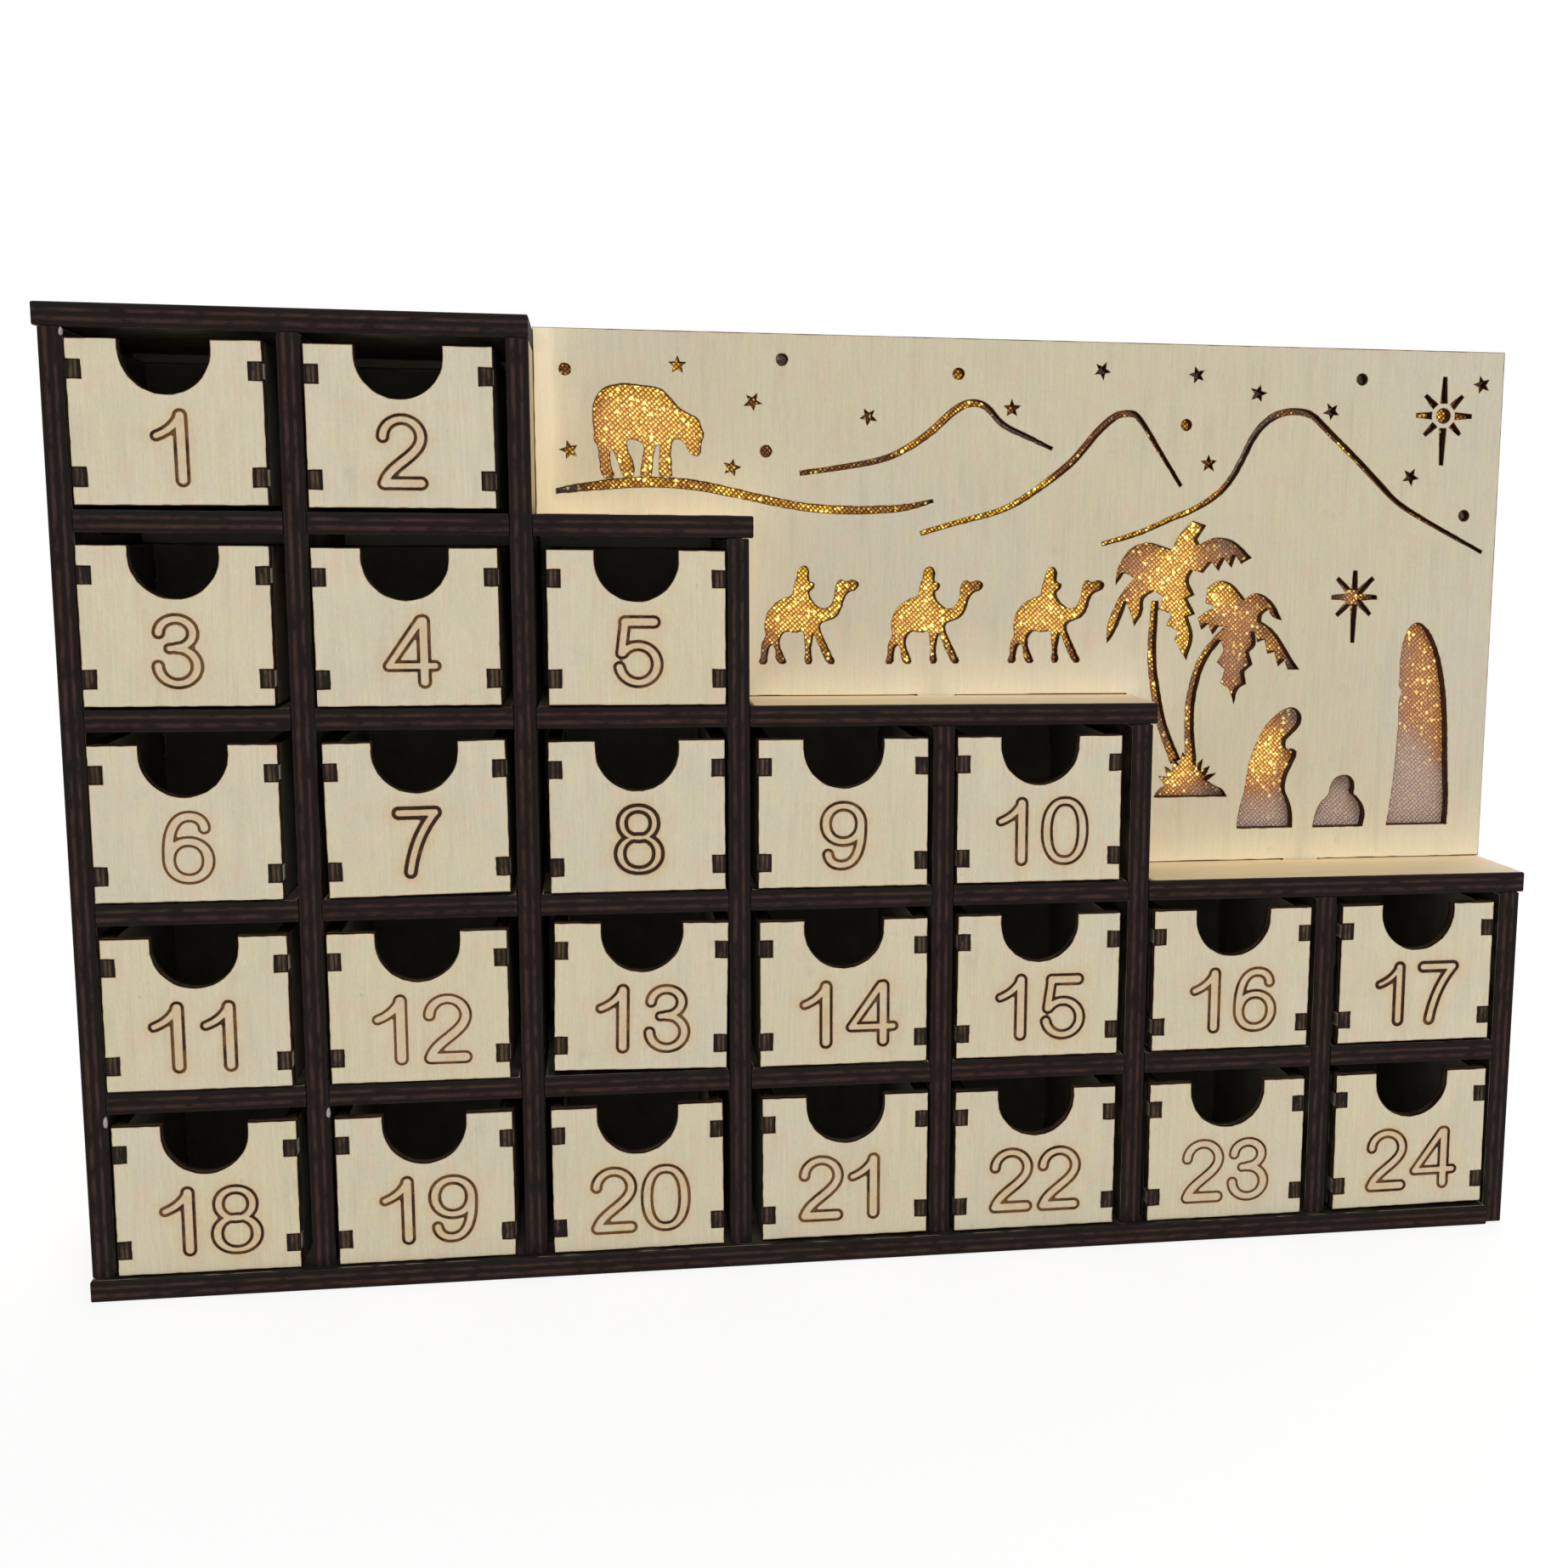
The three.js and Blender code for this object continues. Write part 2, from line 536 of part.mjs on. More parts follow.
// Scene panel: stepped front of the light box with tabs through the step boards and the scene cut out
function scenePanelSolid() {
  let solid = steppedSolid(panelSetback, panelBackY, 0, 0);
  for (let level = lowRow; level < topRow; level += 1) {
    const middle = panelTabX(level);
    const half = panelTabWidth / 2;
    const root = levelZ(level) + 2 * board;
    solid = solid.add(boxSolid(middle - half, middle + half, panelSetback, panelBackY, levelZ(level), root));
  }
  for (const outline of sceneCuts()) {
    solid = solid.subtract(uprightOutlineSolid(outline, panelSetback - cutOverrun, panelBackY + cutOverrun));
  }
  return solid;
}

// Drawer: front with a thumb notch, two sides, back and bottom, glued into one open box
function drawerSolid() {
  const half = drawerWidth / 2;
  const inner = half - drawerWall;
  const outerBox = boxSolid(-half, half, 0, drawerDepth, 0, drawerHeight);
  const hollowTop = drawerHeight + cutOverrun;
  const hollow = boxSolid(-inner, inner, drawerWall, drawerDepth - drawerWall, drawerWall, hollowTop);
  const radius = (drawerWidth * notchWidthShare) / 2;
  const centreZ = drawerHeight - notchSideHeight;
  const points = [[radius, hollowTop], [-radius, hollowTop]];
  for (let i = 0; i <= notchSteps; i += 1) {
    const angle = Math.PI + (Math.PI * i) / notchSteps;
    points.push([radius * Math.cos(angle), centreZ + radius * Math.sin(angle)]);
  }
  const notch = uprightOutlineSolid(points, -cutOverrun, drawerWall + cutOverrun);
  return outerBox.subtract(hollow).subtract(notch);
}

// Battery box: open to the back, with a ledge for its lid and a pocket for its switch
function batteryBoxSolid(left, bottom) {
  const right = left + batteryBoxWidth;
  const top = bottom + batteryBoxHeight;
  const bay = batteryBay(left, bottom);
  const lidFloor = rearY - lidThickness - fitGap;
  const pocket = switchPocket(left, bottom);
  let solid = boxSolid(left, right, rearY - batteryBoxDepth, rearY, bottom, top);
  const floorY = rearY - batteryBoxDepth + batteryBoxWall;
  solid = solid.subtract(boxSolid(bay.left, bay.right, floorY, rearY + cutOverrun, bay.bottom, bay.top));
  const l = lidLedge;
  solid = solid.subtract(
    boxSolid(bay.left - l, bay.right + l, lidFloor, rearY + cutOverrun, bay.bottom - l, bay.top + l),
  );
  const pocketFloor = rearY - switchPocketDepth;
  return solid.subtract(
    boxSolid(pocket.left, pocket.right, pocketFloor, rearY + cutOverrun, pocket.bottom, pocket.top),
  );
}

// Clear space for the cells inside the battery box
function batteryBay(left, bottom) {
  const wall = batteryBoxWall + lidLedge;
  return {
    left: left + wall,
    right: left + batteryBoxWidth * batteryBayShare,
    bottom: bottom + wall,
    top: bottom + batteryBoxHeight - wall,
  };
}

// Pocket beside the bay in which the switch slides
function switchPocket(left, bottom) {
  const middleX = left + batteryBoxWidth * (1 + batteryBayShare) / 2;
  const middleZ = bottom + batteryBoxHeight / 2;
  return {
    left: middleX - switchPocketWidth / 2,
    right: middleX + switchPocketWidth / 2,
    bottom: middleZ - switchPocketHeight / 2,
    top: middleZ + switchPocketHeight / 2,
  };
}

// Lamp: a low round base with a dome, standing on the back wall and facing forwards
function lampGeometry() {
  const profile = [new THREE.Vector2(0, 0), new THREE.Vector2(lampBaseRadius, 0)];
  profile.push(new THREE.Vector2(lampBaseRadius, lampBaseHeight));
  for (let i = 0; i <= lampRings; i += 1) {
    const angle = (i * Math.PI) / (2 * lampRings);
    const radius = i === lampRings ? 0 : lampDomeRadius * Math.cos(angle);
    profile.push(new THREE.Vector2(radius, lampBaseHeight + lampDomeHeight * Math.sin(angle)));
  }
  return toGeometry(toSolid(new THREE.LatheGeometry(profile, lampSides)));
}

// Assembly
const calendar = new THREE.Group();
calendar.position.set(-caseWidth / 2, (baseLip - rearY) / 2, 0);

// Case boards, from the base up and from the left to the right
const shelfNames = ['base_board', 'shelf_1', 'shelf_2', 'shelf_3', 'shelf_4', 'top_board'];
shelfNames.forEach((name, level) => {
  calendar.add(named(name, toGeometry(shelfSolid(level)), 'case'));
});
for (let k = 0; k <= lastWall; k += 1) {
  const name = k === 0 ? 'left_side' : k === lastWall ? 'right_side' : `divider_${k}`;
  calendar.add(named(name, toGeometry(uprightSolid(k)), 'case'));
}

// Drawers, numbered from the top left along each row
let number = 0;
for (let row = topRow; row >= 1; row -= 1) {
  for (let column = 0; column < columnsAt(row); column += 1) {
    const [sideways, lift, roll] = drawerSeatShares[number];
    number += 1;
    const drawer = named(`drawer_${String(number).padStart(2, '0')}`, toGeometry(drawerSolid()), 'drawer');
    const seat = new THREE.Group();
    const middleX = wallX(column) + board + cellWidth / 2;
    const dip = (drawerWidth / 2) * Math.sin(Math.abs(roll));
    const floorZ = levelZ(row - 1) + board + drawerFloorGap;
    seat.position.set(middleX + sideways * drawerSideGap, -drawerProud, floorZ + dip + lift * drawerTopGap);
    seat.rotation.y = roll;
    seat.add(drawer);
    calendar.add(seat);
  }
}

// Light box over the steps
calendar.add(named('scene_panel', toGeometry(scenePanelSolid()), 'panel'));
const fabricY = panelBackY + fitGap;
const fabric = steppedSolid(fabricY, fabricY + fabricThickness, fabricInset, lightWall + fabricInset);
calendar.add(named('glitter_fabric', toGeometry(fabric), 'fabric'));
const wallFrontY = panelBackY + fitGap;
const lightTop = boxSolid(panelLeft, caseWidth, wallFrontY, caseDepth, caseHeight - lightWall, caseHeight);
calendar.add(named('light_box_top', toGeometry(lightTop), 'light_box'));
const endTop = caseHeight - lightWall - fitGap;
const lightEnd = boxSolid(caseWidth - lightWall, caseWidth, wallFrontY, caseDepth, panelBottom, endTop);
calendar.add(named('light_box_end', toGeometry(lightEnd), 'light_box'));

// Back board with the hatch that the battery box sits in
const boxLeft = caseWidth - lightWall - batteryBoxEndGap - batteryBoxWidth;
const boxBottom = panelBottom + batteryBoxRise;
const hatch = boxSolid(
  boxLeft - lidGap,
  boxLeft + batteryBoxWidth + lidGap,
  backY - cutOverrun,
  rearY + cutOverrun,
  boxBottom - lidGap,
  boxBottom + batteryBoxHeight + lidGap,
);
const backBoard = boxSolid(0, caseWidth, backY, rearY, 0, caseHeight).subtract(hatch);
calendar.add(named('back_board', toGeometry(backBoard), 'light_box'));

// Lamps
const lampPlaces = lampShares.map((place) => onPanel(...place));
const stepWallX = wallX(columnsAt(lowRow + 1)) + board;
const lampX = THREE.MathUtils.lerp(stepWallX, boxLeft, lampSpaceShare);
lampPlaces.push([lampX, boxBottom + batteryBoxHeight * lampBoxShare]);
lampPlaces.forEach(([x, z], i) => {
  const lamp = named(`lamp_${i + 1}`, lampGeometry(), 'lamp');
  lamp.position.set(x, caseDepth, z);
  lamp.rotation.x = Math.PI;
  calendar.add(lamp);
});

// Battery box, lid and switch
calendar.add(named('battery_box', toGeometry(batteryBoxSolid(boxLeft, boxBottom)), 'plastic'));
const bay = batteryBay(boxLeft, boxBottom);
const lidReach = lidLedge - lidGap;
const lid = boxSolid(
  bay.left - lidReach,
  bay.right + lidReach,
  rearY - lidThickness,
  rearY,
  bay.bottom - lidReach,
  bay.top + lidReach,
);
calendar.add(named('battery_lid', toGeometry(lid), 'plastic'));
const pocket = switchPocket(boxLeft, boxBottom);
const knobLeft = pocket.left + (switchPocketWidth - switchKnobWidth - switchTravel) / 2;
const knob = boxSolid(
  knobLeft,
  knobLeft + switchKnobWidth,
  rearY - switchPocketDepth + switchGap,
  rearY - switchGap,
  pocket.bottom + switchGap,
  pocket.top - switchGap,
);
calendar.add(named('battery_switch', toGeometry(knob), 'knob'));

export default calendar;
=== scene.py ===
"""Wooden drawer advent calendar: a stepped plywood chest of numbered drawers beside a lit box.

The boards are laser-cut plywood, so each is made from its outline: pale faces, charred edges and a
brown band where the beam has scorched the face beside the cut.
"""

import math
import random

import bmesh
import bpy
import numpy as np
from bpy.props import FloatProperty, FloatVectorProperty, PointerProperty
from mathutils import Matrix, Vector
from mathutils.geometry import delaunay_2d_cdt


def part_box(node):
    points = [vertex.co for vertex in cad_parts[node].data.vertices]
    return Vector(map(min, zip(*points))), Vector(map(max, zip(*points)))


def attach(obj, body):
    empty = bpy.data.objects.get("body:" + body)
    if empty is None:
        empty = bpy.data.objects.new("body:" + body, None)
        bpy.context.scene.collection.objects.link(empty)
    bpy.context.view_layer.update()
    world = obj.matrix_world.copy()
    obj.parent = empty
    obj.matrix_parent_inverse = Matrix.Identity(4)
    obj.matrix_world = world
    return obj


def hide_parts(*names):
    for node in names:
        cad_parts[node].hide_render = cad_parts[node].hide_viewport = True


bl_info = {
    "name": "Drawer Advent Calendar",
    "version": (1, 0, 0),
    "blender": (4, 5, 0),
    "location": "3D View > Sidebar > Calendar",
    "description": "Makes the plywood boards, engraved drawers and lit scene of a drawer advent calendar",
    "category": "Object",
}

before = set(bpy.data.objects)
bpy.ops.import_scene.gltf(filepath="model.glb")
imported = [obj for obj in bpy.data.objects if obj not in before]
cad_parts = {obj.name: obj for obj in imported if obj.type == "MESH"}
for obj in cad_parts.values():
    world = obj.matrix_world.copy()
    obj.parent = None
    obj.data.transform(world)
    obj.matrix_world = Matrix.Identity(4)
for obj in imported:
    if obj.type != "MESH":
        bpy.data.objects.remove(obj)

MM = 0.001
LEVEL_BOARDS = ("base_board", "shelf_1", "shelf_2", "shelf_3", "shelf_4", "top_board")
LAMPS = 8

# Plywood of the case, and of the drawers and the panel, in millimetres
CASE_PLY, THIN_PLY = 5.0, 3.0

# A drawer's tabs: the foot and head of each as shares of its height, and how far their tips stay inside the
# drawer's front and back, in millimetres
TAB_SHARES = ((0.115, 0.23), (0.76, 0.87))
TAB_TIP_GAP = 0.02

# The thumb notch: its radius as a share of the drawer's width, and its centre's drop in millimetres
NOTCH_RADIUS_SHARE = 0.2335
NOTCH_DROP = 2.2

# Widths of a number's groove, from fine to broad, as shares of the groove width that the sidebar holds
GROOVE_SHARES = (0.85, 1.05, 1.35)

# How far a digit's own zero stands from the drawer's left side, in millimetres: one alone, and a pair's two.
# A 1 is narrow, so it has places of its own.
LONE_START, LONE_ONE_START = 14.4, 16.2
FIRST_START, FIRST_ONE_START = 8.4, 9.4
SECOND_START, SECOND_ONE_START = 20.4, 20.5

# Grip grooves of the battery lid, in millimetres: the place of the first and the step to the next, and the
# middle one's half length, the half width and the depth
GRIPS = 7
GRIP_START, GRIP_STEP = 4.5, 2.2
GRIP_HALF_LENGTH, GRIP_RADIUS, GRIP_DEPTH = 8.5, 0.55, 0.5

# The photograph's camera, fitted to the corners of the drawer fronts: its place in metres, its right and up
# directions, its lens in millimetres and its shift
CAMERA_PLACE = (-0.05561, -0.45591, 0.17312)
CAMERA_RIGHT = (0.98619, -0.16539, 0.00855)
CAMERA_UP = (0.01589, 0.14588, 0.98917)
CAMERA_LENS = 42.465
CAMERA_SHIFT = (-0.0808, 0.0168)

# The studio's lamps: each one's name, the way towards it, how wide it looks in degrees, and its strength
STUDIO_LAMPS = (
    ("key", (0.14, -1.0, 1.08), 38, 1.28),
    ("fill", (-0.8, -1.0, 0.6), 60, 0.35),
    ("back", (0.5, 1.0, 0.7), 50, 0.85),
)

# The strength of the light that comes from all round, and half the floor's width in metres
STUDIO_AIR = 0.42
FLOOR_HALF_WIDTH = 6

# Spots of painted lamp light on the cloth: the place across and up and the width in millimetres, and the
# strength
GLOW_SPOTS = (
    (-44, 203, 12, 1.15), (-38, 199, 8, 0.5), (-6, 158, 9.5, 1.25), (-7, 164, 4.5, 0.7),
    (24, 158, 9.5, 1.2), (25, 164, 4.5, 0.8), (19, 145, 3, 0.5), (56, 158, 9.0, 1.1), (56, 164, 4.5, 0.6),
    (92, 176, 4, 0.9), (88, 169, 6, 0.7), (78, 154, 3, 0.8), (72, 150, 3, 0.7), (82, 143, 2.5, 0.5),
    (84, 135, 3, 0.6), (93, 128, 3, 0.5), (100, 160, 3, 0.8), (97, 157, 3, 0.6), (104, 132, 3, 0.6),
    (115, 146, 3, 0.4), (92, 116, 5, 0.85), (88, 112, 4, 0.5), (113, 117, 9, 0.3), (151, 151, 4, 0.6),
    (136, 158, 3.5, 0.6), (158, 205, 3, 0.6), (152, 205, 2.5, 0.35), (164, 205, 2.5, 0.35),
    (-62, 211, 3, 0.4), (-36, 213, 3, 0.4), (32, 212, 3, 0.8), (-62, 193, 3, 0.5), (-23, 189, 3, 0.5),
    (10, 202, 3, 0.35), (-15, 193, 3, 0.35), (-18, 205, 3, 0.4), (45, 204, 3, 0.4), (90, 201, 3, 0.8),
    (96, 192, 3, 0.4),
)

# Streaks of painted lamp light on the cloth: both ends and the width in millimetres, and the strength
GLOW_STREAKS = (
    (86, 161, 91, 144, 4.5, 0.85), (114, 121, 113, 116, 6, 0.6), (158, 146, 163, 118, 5, 0.36),
    (152, 138, 152, 130, 7, 0.2), (-56, 184, -24, 184, 3, 0.35), (-24, 183, -3, 180, 4, 0.7),
    (-3, 180, 20, 180, 4, 0.55), (-6, 188, 18, 196, 3, 0.45), (18, 196, 36, 205, 3.5, 0.75),
    (23, 174, 43, 180, 3, 0.8), (43, 180, 53, 186, 3, 0.7), (53, 186, 74, 203, 3, 0.4),
    (80, 198, 89, 186, 2.5, 0.45), (69, 172, 98, 185, 3, 0.75), (115, 204, 132, 196, 3, 0.4),
    (132, 196, 155, 176, 3, 0.3), (80, 162, 112, 158, 12, 0.24), (154, 145, 155, 126, 9, 0.16),
    (-8, 154, 60, 154, 13, 0.3), (-52, 192, -36, 192, 10, 0.34), (110, 134, 112, 118, 9, 0.14),
)

# How hot each drawer's number was burnt: 0 is a fine brown line, and 1 a broad black one in yellowed wood
HEATS = (
    0.4, 0.6, 0.3, 0.4, 0.6, 0.0, 1.0, 1.0, 0.45, 0.6, 0.5, 0.2,
    0.4, 0.65, 0.7, 0.4, 0.75, 0.55, 0.45, 0.35, 0.3, 0.4, 0.2, 0.45,
)


def paint(red, green, blue):
    """A colour as it looks on a screen, from 0 to 255, as the linear colour that a material holds."""
    shares = [channel / 255 for channel in (red, green, blue)]
    return tuple(s / 12.92 if s <= 0.04045 else ((s + 0.055) / 1.055) ** 2.4 for s in shares)


def length(name, description, default):
    """A size that the sidebar shows in the scene's unit."""
    return FloatProperty(
        name=name, description=description, default=default, min=0, unit="LENGTH", precision=5
    )


def colour(name, description, default):
    """A colour that the sidebar shows as a swatch."""
    return FloatVectorProperty(
        name=name, description=description, default=default, size=3, min=0, max=1, subtype="COLOR"
    )


class CalendarSizes(bpy.types.PropertyGroup):
    """Sizes that the frame doesn't give."""

    edge_round: length("Edge rounding", "Rounding of the case boards' charred edges", 0.0004)
    drawer_round: length("Drawer rounding", "Rounding of the drawer boards' edges", 0.00013)
    seam: length("Joint seam", "Gap round each tab of a drawer", 0.0001)
    groove_width: length("Groove width", "Width of the engraved line of a number", 0.00056)
    groove_depth: length("Groove depth", "Depth of the engraved line of a number", 0.0003)
    scorch_reach: length("Scorch reach", "How far the brown reaches from a cut over the face", 0.00026)
    number_rise: length("Number height", "Height of a number's foot over the drawer's underside", 0.0039)


class CalendarColours(bpy.types.PropertyGroup):
    """Colours of the plywood, the cloth and the plastic."""

    face: colour("Drawer ply", "Pale birch face of a drawer", paint(212, 202, 176))
    panel: colour("Panel ply", "Pale birch face of the scene panel", paint(206, 197, 174))
    case: colour("Case ply", "Face of the case boards", paint(213, 196, 164))
    scorch: colour("Scorch", "Yellowed ply beside a cut", paint(206, 160, 116))
    brown: colour("Burnt ply", "Brown rim of a cut", paint(84, 54, 32))
    # Painted shade: the near-black colour that the faces inside the case and the drawers are darkened to.
    smoke: colour("Smoke", "Painted shade on the faces inside the case", paint(25, 18, 13))
    char: colour("Char", "Charred outer layers of a cut edge", paint(22, 13, 10))
    char_line: colour("Char line", "Paler layers of a cut edge", paint(60, 40, 33))
    engraved: colour("Engraved line", "Floor of a number's groove", paint(122, 84, 46))
    # Painted light: the cloth's colour where lamp light is painted on.
    amber: colour("Lit cloth", "Glitter cloth over a lamp", paint(206, 146, 102))
    # Painted glint: the colour of the flakes' painted glints.
    sparkle: colour("Sparkle", "Brightest flakes of the cloth", paint(255, 236, 140))
    cloth: colour("Unlit cloth", "Glitter cloth away from the lamps", paint(234, 200, 180))
    glow: colour("Lamp light", "Light of the small lamps", paint(255, 196, 110))
    box: colour("Battery box", "Moulded plastic of the battery box", paint(38, 38, 40))
    knob: colour("Switch knob", "Moulded plastic of the switch knob", paint(196, 196, 190))
    glue: colour("Glue", "Milky drops of dried glue", paint(182, 172, 162))
    floor: colour("Floor", "Plain pale floor", paint(240, 240, 240))


# Shader tools


class Value:
    """One socket of a material's nodes, so that maths on it reads as maths."""

    def __init__(self, finish, socket):
        self.finish = finish
        self.socket = socket

    def __add__(self, other):
        return self.finish.maths("ADD", self, other)

    def __sub__(self, other):
        return self.finish.maths("SUBTRACT", self, other)

    def __rsub__(self, other):
        return self.finish.maths("SUBTRACT", other, self)

    def __mul__(self, other):
        return self.finish.maths("MULTIPLY", self, other)

    def __truediv__(self, other):
        return self.finish.maths("DIVIDE", self, other)

    __radd__ = __add__
    __rmul__ = __mul__


class Finish:
    """A material under construction."""

    def __init__(self, name):
        self.material = bpy.data.materials.new(name)
        self.material.use_nodes = True
        self.tree = self.material.node_tree
        self.tree.nodes.clear()

    def node(self, kind, settings=None, sockets=None):
        """A node of a kind, its settings made first and then the values or links of its sockets."""
        made = self.tree.nodes.new(kind)
        for key, value in (settings or {}).items():
            if key == "stops":
                self.set_stops(made.color_ramp, value)
            else:
                setattr(made, key, value)
        for key, value in (sockets or {}).items():
            if isinstance(value, Value):
                self.tree.links.new(value.socket, made.inputs[key])
            elif isinstance(value, tuple) and made.inputs[key].type == "RGBA":
                made.inputs[key].default_value = (*value, 1)
            else:
                made.inputs[key].default_value = value
        return made

    def set_stops(self, ramp, stops):
        while len(ramp.elements) < len(stops):
            ramp.elements.new(1)
        for element, (position, tint) in zip(ramp.elements, stops):
            element.position = position
            element.color = (*tint, 1)

    def out(self, made, socket=0):
        return Value(self, made.outputs[socket])

    def maths(self, operation, *terms):
        made = self.node("ShaderNodeMath", {"operation": operation}, dict(enumerate(terms)))
        return self.out(made)

    def clamped(self, value):
        made = self.node("ShaderNodeMath", {"operation": "ADD", "use_clamp": True}, {0: value, 1: 0.0})
        return self.out(made)

    def step(self, value, low, high):
        """0 below low and 1 above high, smooth between them."""
        made = self.node(
            "ShaderNodeMapRange",
            {"interpolation_type": "SMOOTHSTEP"},
            {"Value": value, "From Min": low, "From Max": high},
        )
        return self.out(made)

    def attribute(self, name, socket="Fac"):
        return self.out(self.node("ShaderNodeAttribute", {"attribute_name": name}), socket)

    def stretch(self, vector, scales):
        made = self.node("ShaderNodeVectorMath", {"operation": "MULTIPLY"}, {0: vector, 1: scales})
        return self.out(made)

    def noise(self, vector, scales, detail=3.0, rough=0.5):
        made = self.node(
            "ShaderNodeTexNoise",
            None,
            {"Vector": self.stretch(vector, scales), "Scale": 1.0, "Detail": detail, "Roughness": rough},
        )
        return self.out(made)

    def blend(self, factor, first, second, kind="MIX"):
        """Colour first where factor is 0, and second where it is 1."""
        made = self.node(
            "ShaderNodeMix",
            {"data_type": "RGBA", "blend_type": kind},
            {0: factor, 6: first, 7: second},
        )
        return self.out(made, 2)

    def surface(self, bump=None, strength=0.2, distance=0.0002, **sockets):
        """Ends the material in one surface shader. Socket names are written with _ for a blank."""
        inputs = {key.replace("_", " "): value for key, value in sockets.items()}
        if bump is not None:
            relief = {"Height": bump, "Strength": strength, "Distance": distance}
            inputs["Normal"] = self.out(self.node("ShaderNodeBump", None, relief))
        shader = self.node("ShaderNodeBsdfPrincipled", None, inputs)
        self.node("ShaderNodeOutputMaterial", None, {"Surface": self.out(shader)})
        return self.material


# Finishes


def ply_face(name, pale, colours, painted_glow_tint=(0.0, 0.0, 0.0)):
    """Pale birch ply with faint grain, brown beside each cut, painted shade that darkens the faces inside the
    case and the drawers, and painted lamp light that makes the faces glow where it is marked.
    """
    finish = Finish(name)
    grain = finish.attribute("grain", "Vector")
    burn = finish.attribute("burn")
    scorch = finish.attribute("scorch")
    soot = finish.attribute("soot")
    streak = finish.noise(grain, (1.5, 0.06, 1.5), 4.0, 0.66)
    fine = finish.noise(grain, (4.2, 0.34, 4.2), 2.0, 0.6)
    figure = finish.noise(grain, (0.24, 0.03, 0.24), 3.0, 0.55)
    cloud = finish.noise(grain, (0.09, 0.07, 0.09), 3.0, 0.6)
    blotch = finish.noise(grain, (0.21, 0.13, 0.21), 3.0, 0.6)
    speckle = finish.noise(grain, (1.7, 1.0, 1.7), 3.0, 0.7)
    pores = finish.step(finish.noise(grain, (7.0, 0.55, 7.0), 1.0, 0.4), 0.66, 0.76)
    lot = finish.noise(grain, (0.011, 0.011, 0.011), 0.0)
    dots = finish.node(
        "ShaderNodeTexVoronoi",
        {"feature": "F1", "voronoi_dimensions": "3D"},
        {"Vector": finish.stretch(grain, (0.09, 0.055, 0.0)), "Scale": 1.0, "Randomness": 1.0},
    )
    speck = (1.0 - finish.step(finish.out(dots, "Distance") + 0.03 * speckle, 0.03, 0.055)) * 0.4
    tone = 0.7 + 0.26 * streak + 0.15 * fine + 0.21 * speckle - 0.06 * finish.step(figure, 0.5, 0.72)
    cool, rosy, straw = (tuple(c * s for c, s in zip(pale, shift)) for shift in (
        (0.92, 0.95, 0.97), (1.05, 0.92, 0.9), (1.01, 0.985, 0.84)))
    wood = finish.blend(finish.step(cloud, 0.35, 0.68) * 0.7, pale, cool)
    wood = finish.blend(finish.step(lot, 0.4, 0.64) * 0.45, wood, straw)
    wood = finish.blend(finish.step(blotch, 0.5, 0.72) * 0.8, wood, rosy)
    wood = finish.blend(finish.step(blotch, 0.5, 0.28) * 0.7, wood, straw)
    wood = finish.blend(1.0, wood, tone, "MULTIPLY")
    wood = finish.blend(pores * 0.2, wood, tuple(c * 0.45 for c in pale))
    stain = finish.step(finish.noise(grain, (0.16, 0.11, 0.16), 4.0, 0.62), 0.58, 0.8)
    wood = finish.blend(stain * 0.2 + speck, wood, tuple(c * 0.5 for c in pale))
    heat = finish.noise(grain, (0.28, 0.22, 0.28), 3.0, 0.6)
    patchy = finish.clamped(scorch * (0.3 + 0.85 * finish.step(heat, 0.34, 0.62)))
    wood = finish.blend(patchy * 0.8, wood, finish.blend(speckle, tuple(colours.scorch), straw))
    ragged = finish.clamped(burn * (0.88 + 0.24 * finish.noise(grain, (1.0, 1.0, 1.0), 2.0)))
    wood = finish.blend(finish.step(ragged, 0.1, 0.8) * 0.5, wood, tuple(colours.scorch))
    wood = finish.blend(finish.step(ragged, 0.55, 1.0), wood, tuple(colours.brown))
    # Painted shade: the faces are darkened towards the painted shade colour where they lie in shade.
    drift = finish.clamped(soot * (0.8 + 0.4 * finish.noise(grain, (0.12, 0.12, 0.12), 3.0)))
    wood = finish.blend(drift, wood, tuple(colours.smoke))
    # Painted lamp light: the faces glow with the tint where lamp light is painted on.
    light = finish.blend(finish.attribute("warmth"), (0.0, 0.0, 0.0), painted_glow_tint)
    return finish.surface(
        bump=streak * 0.5 + fine * 0.3 - pores * 0.4,
        strength=0.25,
        distance=0.00012,
        Base_Color=wood,
        Roughness=0.66 - 0.08 * fine,
        Emission_Color=light,
        Emission_Strength=1.0,
        IOR=1.4,
    )


